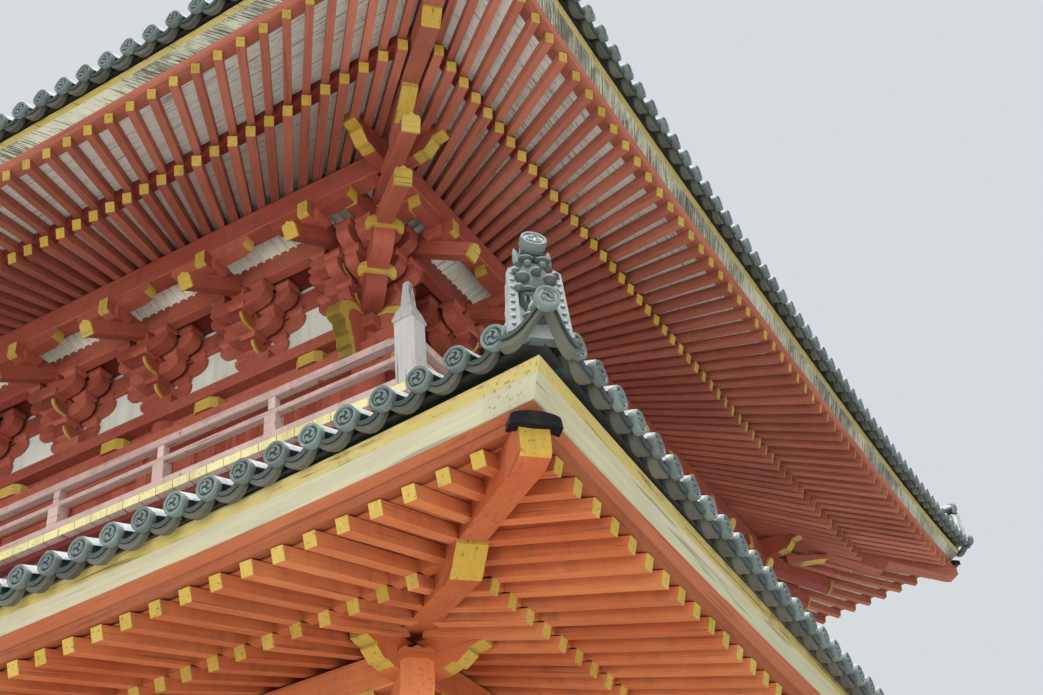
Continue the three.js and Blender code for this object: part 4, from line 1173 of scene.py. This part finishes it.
def cornerArms(pile, eave):  # the diagonal arms of the corner, in tiers, under wavy painted caps
    kind, wallHalf, size = eave["wood"], eave["wallHalf"], bracketSizes
    depth, cushion = size["depth"], size["blockHeight"]
    corner = at(wallHalf, -wallHalf, 0, -45)
    planes = (0.0, *eave["reaches"])
    for reach, level in zip(eave["cornerReaches"], eave["levels"]):
        top, length = level + depth, (reach + 0.03) * root2
        arm(pile, corner @ at(0, 0, top), length + 0.1, depth + 0.05, 0.2, kind, None, True)
        bearing(pile, corner @ at(length - 0.02, 0, top + 0.09), 0.26, 0.1, kind)
        endPlate(pile, corner @ at(length + 0.11, 0, top + 0.03), 0.36, 0.17, crownHalf, 0.045)
    for tier, plane, reach in ((0, 0, 0.3), (1, 0, 0.5), (1, 1, 0.46), (2, 1, 0.6), (2, 2, 0.56)):
        top, spot = eave["levels"][tier] + depth - 0.012, wallHalf + planes[plane]
        for place in (at(wallHalf, -spot, top), at(spot, -wallHalf, top, -90)):
            arm(pile, place, reach + 0.1, depth, size["width"] - 0.012, kind, None, True)
            bearing(pile, place @ at(reach, 0, cushion), size["blockWidth"], cushion, kind)
    if eave is upperEave:  # two tail rafters on the diagonal, with scalloped ends
        for out, z in ((4.99, 11.1), (5.27, 11.375)):
            start, end = Vector((wallHalf, -wallHalf, z + (out - wallHalf) * root2 * 0.34)), Vector((out, -out, z))
            beam(pile, start, end, 0.15, 0.17, kind, edge=0.01)
            place, length = frameAlong(start, end)
            endPlate(pile, place @ at(length, 0, 0), 0.165, 0.185, wavyHalf, 0.03)
        return
    under = purlinTopOf(eave) - eave["purlinDepth"]
    outline = ((wallHalf, -0.1), (wallHalf, -0.36), (4.62, -0.36), (4.78, -0.25), (4.845, -0.1), (4.85, 0.13),
               (4.7, 0.17))
    prism(pile, [(x * root2, under + z) for x, z in outline], 0.25, hip, kind)
    endPlate(pile, at(4.85, -4.85, under + 0.13, -45), 0.29, 0.11, crownHalf, 0.045, kind)
    block(pile, (4.62, -4.84, under + 0.19), (4.84, -4.62, under + 0.23), "iron")


# Columns, walls, windows and doors
storeys = {
    "lower": dict(half=4.05, floor=0.96, plate=5.35, plateHeight=0.15, radius=0.21, sill=0.33, head=0.56,
                  windowRise=0.7, wood="vermilion", panel="plaster", slot="vermilion_wood", lattice="latticeGreen",
                  bars=12, bar=0.026, doorRails=5, foot=0.31, hinges=()),
    "upper": dict(half=3.72, floor=8.74, plate=10.77, plateHeight=0.14, radius=0.165, sill=0.21, head=0.35,
                  windowRise=0.33, wood="darkRed", panel="darkRed", slot="dark_red_wood", lattice="darkRed",
                  bars=21, bar=0.035, doorRails=3, foot=0.0, hinges=(0.7, 1.92, 3.18)),
}
wallSet = {"thick": 0.09, "railReach": 0.07, "railDepth": 0.15, "doorGap": 0.11, "windowGap": 0.19, "headGap": 0.09}
for storey in storeys.values():  # the heights and half widths that follow from them
    storey["bay"] = storey["half"] * 2 / 3
    storey["top"] = storey["plate"] - storey["plateHeight"]
    storey["headLine"] = storey["top"] - storey["head"]
    storey["sillLine"] = storey["floor"] + storey["sill"]
    storey["doorHalf"] = storey["bay"] / 2 - storey["radius"] - wallSet["doorGap"]
    storey["windowHalf"] = storey["bay"] / 2 - storey["radius"] - wallSet["windowGap"]
    storey["windowLow"] = storey["sillLine"] + storey["windowRise"]
    storey["windowHigh"] = storey["headLine"] - wallSet["headGap"]

# the carved ends of the tie beams at the corners, outwards and up from the column's head, and their painted band
noseOutline = [(0.0, -0.34), (0.24, -0.43), (0.37, -0.43), (0.36, -0.33), (0.4, -0.32), (0.41, -0.2), (0.45, -0.19),
               (0.47, -0.07), (0.56, -0.05), (0.565, 0.02), (0.52, 0.12), (0.42, 0.19), (0.3, 0.235), (0.12, 0.26),
               (0.0, 0.26)]
noseBand = noseOutline[2:14] + [(0.12, 0.19), (0.28, 0.165), (0.37, 0.12), (0.42, 0.05), (0.42, -0.03), (0.39, -0.07),
                                (0.365, -0.19), (0.34, -0.21), (0.32, -0.35), (0.3, -0.43)]


def makeColumns(name, storey):
    pile = Pile(61)
    half, radius, wood, low, top = [storey[key] for key in ("half", "radius", "wood", "floor", "top")]
    rows = (-half, -half / 3, half / 3, half)
    for x, y in [(x, y) for x in rows for y in rows if half in (abs(x), abs(y))]:
        profile = [(radius * 0.97, low), (radius, low + 0.3), (radius, low + (top - low) * 0.6), (radius * 0.93, top)]
        lathe(pile, profile, 24, at(x, y, 0, 15), wood)
        if storey["foot"]:  # a square stone with a round seat, which belong to the platform
            foot, seat = storey["foot"], radius + 0.05
            squarePost(pile, [(foot, 0.9), (foot, 0.945), (foot - 0.02, 0.96), (0, 0.96)], at(x, y, 0), "stone")
            lathe(pile, [(seat, 0.955), (seat, 0.97), (seat - 0.04, 1.0), (0, 1.0)], 20, at(x, y, 0), "stone")
    ringBeam(pile, half - 0.17, half + 0.21, top, storey["plate"], wood, 0.015)
    for quarter in range(4):
        for degrees in (-90, 0):
            place = turned(90 * quarter) @ at(half, -half, top, degrees)
            prism(pile, noseOutline, 0.15, place, wood, dict.fromkeys(range(1, len(noseOutline) - 2), "yellow"))
            prism(pile, noseBand, 0.158, place, "yellow")
    pile.piece(name + "Columns", [name + "_columns"])


def makeWalls(name, storey):
    pile = Pile(63)
    half, wood, panel, bay, gap = [storey[key] for key in ("half", "wood", "panel", "bay", "windowHalf")]
    top, head, sill, low, high, door = [storey[key] for key in (
        "top", "headLine", "sillLine", "windowLow", "windowHigh", "doorHalf")]
    thick = wallSet["thick"] / 2
    y0, y1, wide = -half - thick + 0.01, -half + thick - 0.01, bay / 2
    for x in (-bay, bay):
        for left, foot, right, end in ((-wide, sill, -gap, head), (gap, sill, wide, head), (-gap, sill, gap, low),
                                       (-gap, high, gap, head)):
            block(pile, (x + left, y0, foot), (x + right, y1, end), panel)
        for z in (low, high):
            rail(pile, x - gap - 0.05, x + gap + 0.05, -half, z, 0.14, 0.08, wood)
        for side in (-gap, gap):
            upright(pile, x + side, -half, low, high, 0.14, 0.08, wood)
        upright(pile, x, -half, sill, low, 0.12, 0.1, wood)
    for sign in (-1, 1):
        left, right = sorted((sign * door, sign * wide))
        block(pile, (left, y0, sill), (right, y1, head), panel)
        upright(pile, sign * (door + 0.035), -half - 0.01, sill, head, 0.15, 0.09, wood)
    rail(pile, -door - 0.07, door + 0.07, -half - 0.01, head, 0.15, 0.09, wood)
    block(pile, (-half, y0, head + wallSet["railDepth"]), (half, y1, top), "plaster")
    hinge = [(-0.17, 0.05), (-0.155, -0.03), (-0.09, -0.085), (0.09, -0.085), (0.155, -0.03), (0.17, 0.05)]
    for across in storey["hinges"]:  # the hinge blocks on the head rail
        for x in (-across, across):
            prism(pile, hinge, 0.13, at(x, -half - 0.17, head + 0.215, -90, "X"), wood,
                  dict.fromkeys(range(5), "yellow"))
    pile.quarters()
    outer, inner = half + storey["radius"] + wallSet["railReach"], half - thick
    ringBeam(pile, inner, outer, storey["floor"] + 0.0003, sill, wood, 0.012)
    ringBeam(pile, inner, outer, head, head + wallSet["railDepth"], wood, 0.012)
    ringBeam(pile, half - 0.07, half + 0.07, top - 0.26, top - 0.0003, wood)
    pile.piece(name + "Walls", [side + "_" + name + "_wall" for side in sides])


def makeLattice(name, storey):  # upright bars in the windows, set on edge
    pile = Pile(64)
    count, bar = storey["bars"], storey["bar"]
    for x in (-storey["bay"], storey["bay"]):
        for i in range(count):
            spot = x + storey["windowHalf"] * (2 * (i + 0.5) / count - 1)
            squarePost(pile, [(bar, storey["windowLow"]), (bar, storey["windowHigh"])], at(spot, -storey["half"], 0),
                       storey["lattice"], 0)
    pile.quarters()
    pile.piece(name + "WindowBars")


def makeDoors(name, storey):
    pile = Pile(65)
    wood, y, boards, rails, studs = storey["wood"], -storey["half"], 5, storey["doorRails"], 6
    door, low, high = storey["doorHalf"] - 0.005, storey["sillLine"] + 0.002, storey["headLine"] - 0.05
    for sign in (-1, 1):
        for i in range(boards):
            left, right = sorted((sign * door * i / boards, sign * door * (i + 1) / boards))
            block(pile, (left + 0.002, y - 0.022, low), (right - 0.002, y + 0.022, high), wood)
        for i in range(rails):
            z = low + 0.07 + (high - low - 0.14) * i / (rails - 1)
            rail(pile, sign * 0.01, sign * (door - 0.01), y - 0.03, z, 0.03, 0.1, wood, edge=0.006)
            for j in range(studs):
                spot = at(sign * (0.09 + (door - 0.16) * j / (studs - 1)), y - 0.046, z)
                ball(pile, spot, (0.022, 0.016, 0.022), "bronze", 8, 3)
        ball(pile, at(sign * 0.1, y - 0.05, (low + high) / 2 + 0.09), (0.04, 0.012, 0.04), "bronze", 12, 3)
    upright(pile, 0, y - 0.045, low, high, 0.1, 0.04, wood)
    pile.quarters()
    pile.piece(name + "Doors", [side + "_" + name + "_door" for side in sides])


# The balcony
balconySet = {
    "half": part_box("balcony_floor")[1].x, "top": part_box("balcony_floor")[1].z, "plank": 0.1818, "depth": 0.08,
    "roomHalf": 3.93, "beamPitch": 1.24, "postHalf": 4.99, "post": 0.194, "postPitch": 1.205,
}
railRows = ((0.03, 0.11, 0.124), (0.305, 0.355, 0.084), (0.48, 0.56, 0.092))  # low, high and width


def makeBalcony():
    half, top, room = balconySet["half"], balconySet["top"], balconySet["roomHalf"]
    wood, dark = "darkRed", "shadowRed"
    grown("balconyPlanks", rafterRow, {
        "Count": int(2 * half / balconySet["plank"]), "Pitch": balconySet["plank"], "Start Half": 3.95,
        "End Half": half - 0.002, "Slope": 0.0, "End Height": top - balconySet["depth"] / 2, "Corner Lift": 0.0,
        "Lift From": 1.0, "Lift To": 2.0, "Fan": 0.0, "Hip Clear": 0.02, "Width": balconySet["plank"] - 0.01,
        "Depth": balconySet["depth"], "Seed": 12, "Wood": finishes["paleTimber"],
        "End Paint": finishes["plankEnd"]}, ["balcony_floor"])
    inside = Pile(71)
    for i in range(38):
        x = -room + i * 0.2124
        block(inside, (x - 0.1, -room, top - 0.07), (x + 0.1, room, top - 0.004), wood)
    inside.piece("upperFloorBoards")
    pile = Pile(72)
    waist, foot = top - balconySet["depth"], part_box("balcony_beams")[0].z
    middle = waist - 0.075
    for i in range(-3, 4):
        x = i * balconySet["beamPitch"]
        beam(pile, (x, -3.95, middle), (x, -half + 0.2, middle), 0.12, 0.15, wood, (wood, "yellow"))
        bearing(pile, at(x, -4.3, waist - 0.15), 0.24, 0.16, wood)
        upright(pile, x, -4.13, foot + 0.02, waist - 0.16, 0.14, 0.06, wood)
    beam(pile, hip @ Vector((5.7, 0, middle)), hip @ Vector(((half - 0.22) * root2, 0, middle)), 0.14, 0.15, wood,
         (wood, "yellow"))
    pile.quarters()
    ringBeam(pile, 4.0, 4.11, foot, waist, "plaster", 0.002)
    ringBeam(pile, 4.0, 4.135, waist - 0.26, waist - 0.16, wood)
    ringBeam(pile, half - 0.4, half - 0.27, waist - 0.05, waist - 0.002, dark)
    ringBeam(pile, half - 0.16, half - 0.07, waist - 0.06, waist - 0.002, dark)
    pile.piece("balconyWaist", ["balcony_beams"])


def makeRailing():
    pile = Pile(73)
    top, line, h = balconySet["top"], balconySet["postHalf"], balconySet["post"] / 2
    for low, high, width in railRows:
        rail(pile, -line, line, -line, top + (low + high) / 2, width, high - low, "paleTimber")
    for i in range(-3, 4):
        x = i * balconySet["postPitch"]
        for reach, deep, low, high in ((0.06, 0.055, 0.002, 0.305), (0.035, 0.035, 0.355, 0.485)):
            block(pile, (x - reach, -line - deep, top + low), (x + reach, -line + deep, top + high), "paleTimber",
                  0.008)
    upright(pile, line, -line, top + 0.002, top + 0.64, h * 2, h * 2, "postWood", edge=0.012)
    cap = [(h - 0.012, 0.64), (h + 0.008, 0.655), (h + 0.006, 0.68), (h * 0.93, 0.72), (h * 0.78, 0.77),
           (h * 0.6, 0.81), (h * 0.5, 0.83), (h * 0.3, 1.075), (h * 0.22, 1.1)]
    squarePost(pile, cap, at(line, -line, top), "postWood")
    pile.quarters()
    pile.piece("balconyRailing", ["balcony_rail"])


# The stone platform and steps
stoneSet = {
    "half": 5.7, "edge": 5.76, "height": 0.9, "pavers": 14, "joint": 0.003,
    # outer and inner reach, foot and top, stone length and bevel of each course
    "courses": ((5.76, 5.4, 0.0, 0.16, 1.1, 0.012), (5.692, 5.4, 0.16, 0.45, 0.8, 0.015),
                (5.692, 5.4, 0.45, 0.74, 0.8, 0.015), (5.76, 5.25, 0.74, 0.9, 1.2, 0.014)),
    "steps": 5, "going": 0.3, "cuts": (-1.2, -0.35, 0.5, 1.2),
}


def makePlatform():
    pile = Pile(81)
    half, height, joint, dice = stoneSet["half"], stoneSet["height"], stoneSet["joint"], random.Random(82)
    for outer, inner, low, high, length, bevel in stoneSet["courses"]:
        x = -outer
        while x < inner - 0.01:  # one side's stones, from one corner up to the next one's stone
            width = min(length * dice.uniform(0.8, 1.25), inner - x)
            if inner - x - width < length * 0.4:
                width = inner - x
            block(pile, (x + joint, -outer, low + joint), (x + width - joint, -inner, high - joint), "stone", bevel)
            x += width
    pile.quarters()
    start = 0.45 - half
    size = -start * 2 / stoneSet["pavers"]
    for i in range(stoneSet["pavers"]):
        for j in range(stoneSet["pavers"]):
            x, y, top = start + size * i, start + size * j, height - dice.uniform(0.0, 0.004)
            block(pile, (x + 0.004, y + 0.004, 0.8), (x + size - 0.004, y + size - 0.004, top), "stone", 0.008)
    block(pile, (-half + 0.1, -half + 0.1, 0.02), (half - 0.1, half - 0.1, 0.86), "stone")
    pile.piece("platformStones", ["stone_platform"])


def makeSteps():
    pile = Pile(83)
    near, going, count, cuts = stoneSet["edge"], stoneSet["going"], stoneSet["steps"], stoneSet["cuts"]
    rise, joint = stoneSet["height"] / (count + 1), stoneSet["joint"]
    for i in range(count):
        reach, top = near + going * (count - i), rise * (i + 1)
        back = -near if i == count - 1 else -reach + going + 0.06
        for left, right in zip(cuts, cuts[1:]):
            block(pile, (left + joint, -reach, rise * i + 0.002), (right - joint, back, top), "stone", 0.014)
        block(pile, (-1.19, -reach + 0.1, 0.001), (1.19, -near, top - 0.02), "stone")
    far = near + going * count + 0.12
    for x in (-1.31, 1.31):
        outline = [(-far, 0.001), (-far, 0.14), (-near, stoneSet["height"]), (-near, 0.001)]
        prism(pile, outline, 0.22, at(x, 0, 0, 90), "stone")
    pile.quarters()
    pile.piece("stoneSteps", [side + "_steps" for side in sides])


# The finial
finialSet = {
    "base": 16.18, "top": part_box("finial")[1].z, "box": 0.43, "rings": 9, "ringRise": 0.33, "ring": 0.4,
    "taper": 0.022, "mast": 0.055, "petals": 12, "spokes": 8,
}


def raised(profile, base):
    return [(across, base + height) for across, height in profile]


def makeFinial():
    base, half, mast = finialSet["base"], finialSet["box"], finialSet["mast"]
    kind, centre = "bronze", Matrix()
    pile = Pile(91)
    box = [(half, -0.13), (half, 0.03), (half - 0.03, 0.05), (half - 0.03, 0.25), (half + 0.02, 0.27),
           (half + 0.06, 0.285), (half + 0.06, 0.33), (0, 0.33)]
    squarePost(pile, raised(box, base), centre, kind)
    for side in range(4):
        for x in (-0.2, 0.2):
            panel = raised([(x - 0.16, 0.08), (x + 0.16, 0.08), (x + 0.16, 0.22), (x - 0.16, 0.22)], base)
            prism(pile, panel, 0.02, turned(90 * side) @ at(0, -half + 0.028, 0), kind)
    pile.piece("finialBase", ["finial_box"])
    start = base + 0.33
    pile = Pile(92)
    bowl = [(0.33, 0), (0.335, 0.03), (0.328, 0.1), (0.3, 0.19), (0.24, 0.26), (0.15, 0.3), (0.1, 0.32), (0.1, 0.34),
            (0.06, 0.36)]
    lathe(pile, raised(bowl, start), 32, centre, kind)
    for row in range(2):
        for i in range(finialSet["petals"]):
            petal = turned(360 * (i + 0.5 * row) / finialSet["petals"]) @ at(0.2, 0, start + 0.38 + 0.03 * row)
            ball(pile, petal @ Matrix.Rotation(-0.5, 4, "Y"), (0.115, 0.05, 0.02), kind, 8, 3)
    first = start + 0.62
    vane = first + finialSet["ringRise"] * finialSet["rings"]
    lathe(pile, [(0.08, start + 0.3), (mast, start + 0.5), (mast, vane + 0.5)], 16, centre, kind)
    for i in range(finialSet["rings"]):
        radius, z = finialSet["ring"] - finialSet["taper"] * i, first + finialSet["ringRise"] * i
        hoop(pile, [(radius + x, z + y) for x, y in ((-0.035, -0.012), (0, -0.012), (0, 0.038), (-0.035, 0.038))], 36)
        lathe(pile, raised([(0.085, -0.03), (0.1, 0), (0.1, 0.03), (0.085, 0.055)], z), 16, centre, kind)
        for spoke in range(finialSet["spokes"]):
            turn, level = turned(360 * spoke / finialSet["spokes"]), z + 0.013
            beam(pile, turn @ Vector((0.07, 0, level)), turn @ Vector((radius - 0.02, 0, level)), 0.022, 0.026, kind,
                 edge=0.005)
            bell = [(0.006, 0.0), (0.012, -0.012), (0.018, -0.04), (0.022, -0.055), (0, -0.05)]
            lathe(pile, bell, 6, turn @ at(radius - 0.02, 0, z - 0.012), kind)
    flame = [(0.05, -0.04), (0.12, 0.02), (0.2, 0.1), (0.16, 0.14), (0.22, 0.22), (0.18, 0.27), (0.205, 0.36),
             (0.13, 0.4), (0.15, 0.5), (0.08, 0.5), (0.05, 0.58)]
    for i in range(4):
        prism(pile, flame, 0.016, at(0, 0, vane, 90 * i + 45), kind)
    jewels = [(mast, 0.5), (mast, 0.62), (0.11, 0.66), (0.14, 0.7), (0.11, 0.745), (0.045, 0.79), (0.1, 0.83),
              (0.15, 0.91), (0.145, 0.98), (0.1, 1.06), (0.03, 1.15), (0, finialSet["top"] - 0.002 - vane)]
    lathe(pile, raised(jewels, vane), 24, centre, kind)
    pile.piece("finialRings", ["finial"])


def hoop(pile, section, steps):  # a closed band round the mast
    count = len(section)
    points = [turned(360 * i / steps) @ Vector((r, 0, z)) for i in range(steps) for r, z in section]
    faces = [[i * count + j, (i + 1) % steps * count + j, (i + 1) % steps * count + (j + 1) % count,
              i * count + (j + 1) % count] for i in range(steps) for j in range(count)]
    pile.add(points, faces, "bronze")


for eave in (lowerEave, upperEave):
    for make in (makeRafters, makeEaveWood, makeEaveBoard, makeHips, makeBrackets):
        make(eave)
    print(eave["name"], "eave built")
for make in (makeTiles, makeRidges):
    make(lowerEave)
    make(upperEave)
print("roofs tiled")
for name, storey in storeys.items():
    for make in (makeColumns, makeWalls, makeLattice, makeDoors):
        make(name, storey)
makeBalcony()
makeRailing()
makePlatform()
makeSteps()
makeFinial()
print("walls, balcony, platform and finial built")

# Floor, light and camera
floorSet = {"half": 300.0, "colour": (0.82, 0.81, 0.78, 1), "roughness": 0.9}
cameraSet = {"place": (10.0241, -13.1023, 1.6099), "turn": (128.129, 4.54, 29.962), "lens": 51.443}
skySet = {"Color": (0.86, 0.9, 0.95, 1), "Strength": 0.79}
lights = {  # place, power, the two sizes and the spread in degrees
    "keyLight": ((18, -20, 34), 6100, 14.0, 14.0, 180),
    "fillLight": ((-24, -26, 14), 1500, 14.0, 14.0, 180),
    "lowLight": ((8, -22, 3.6), 250, 14.0, 7.0, 70),
    "backLight": ((-14, 28, 22), 2200, 14.0, 14.0, 180),
    "floorGlow": ((0, 0, 0.04), 2400, 40.0, 40.0, 180),
}


def makeStage():
    half = floorSet["half"]
    mesh = bpy.data.meshes.new("floor")
    mesh.from_pydata([(-half, -half, 0), (half, -half, 0), (half, half, 0), (-half, half, 0)], [], [[0, 1, 2, 3]])
    material = bpy.data.materials.new("paleFloor")
    material.use_nodes = True
    plugAll(material.node_tree.nodes["Principled BSDF"].inputs, {
        "Base Color": floorSet["colour"], "Roughness": floorSet["roughness"]})
    mesh.materials.append(material)
    linked("floor", mesh)


def makeLights():
    world = bpy.data.worlds.new("softSky")
    bpy.context.scene.world = world
    world.use_nodes = True
    plugAll(world.node_tree.nodes["Background"].inputs, skySet)
    for name, (place, power, width, height, spread) in lights.items():
        light = bpy.data.lights.new(name, "AREA")
        light.energy = power
        light.shape = "RECTANGLE"
        light.size, light.size_y = width, height
        light.spread = math.radians(spread)
        lamp = linked(name, light)
        lamp.location = place
        lamp.rotation_mode = "QUATERNION"
        lamp.rotation_quaternion = (Vector((0, 0, 9)) - Vector(place)).to_track_quat("-Z", "Y")
        lamp.visible_camera = False


def makeCamera():
    data = bpy.data.cameras.new("camera")
    data.lens = cameraSet["lens"]
    data.sensor_width = 36
    data.clip_end = 1500
    camera = linked("camera", data)
    camera.location = cameraSet["place"]
    camera.rotation_euler = Euler([math.radians(angle) for angle in cameraSet["turn"]])
    bpy.context.scene.camera = camera


makeStage()
makeLights()
makeCamera()
bpy.context.scene.view_settings.view_transform = "Standard"
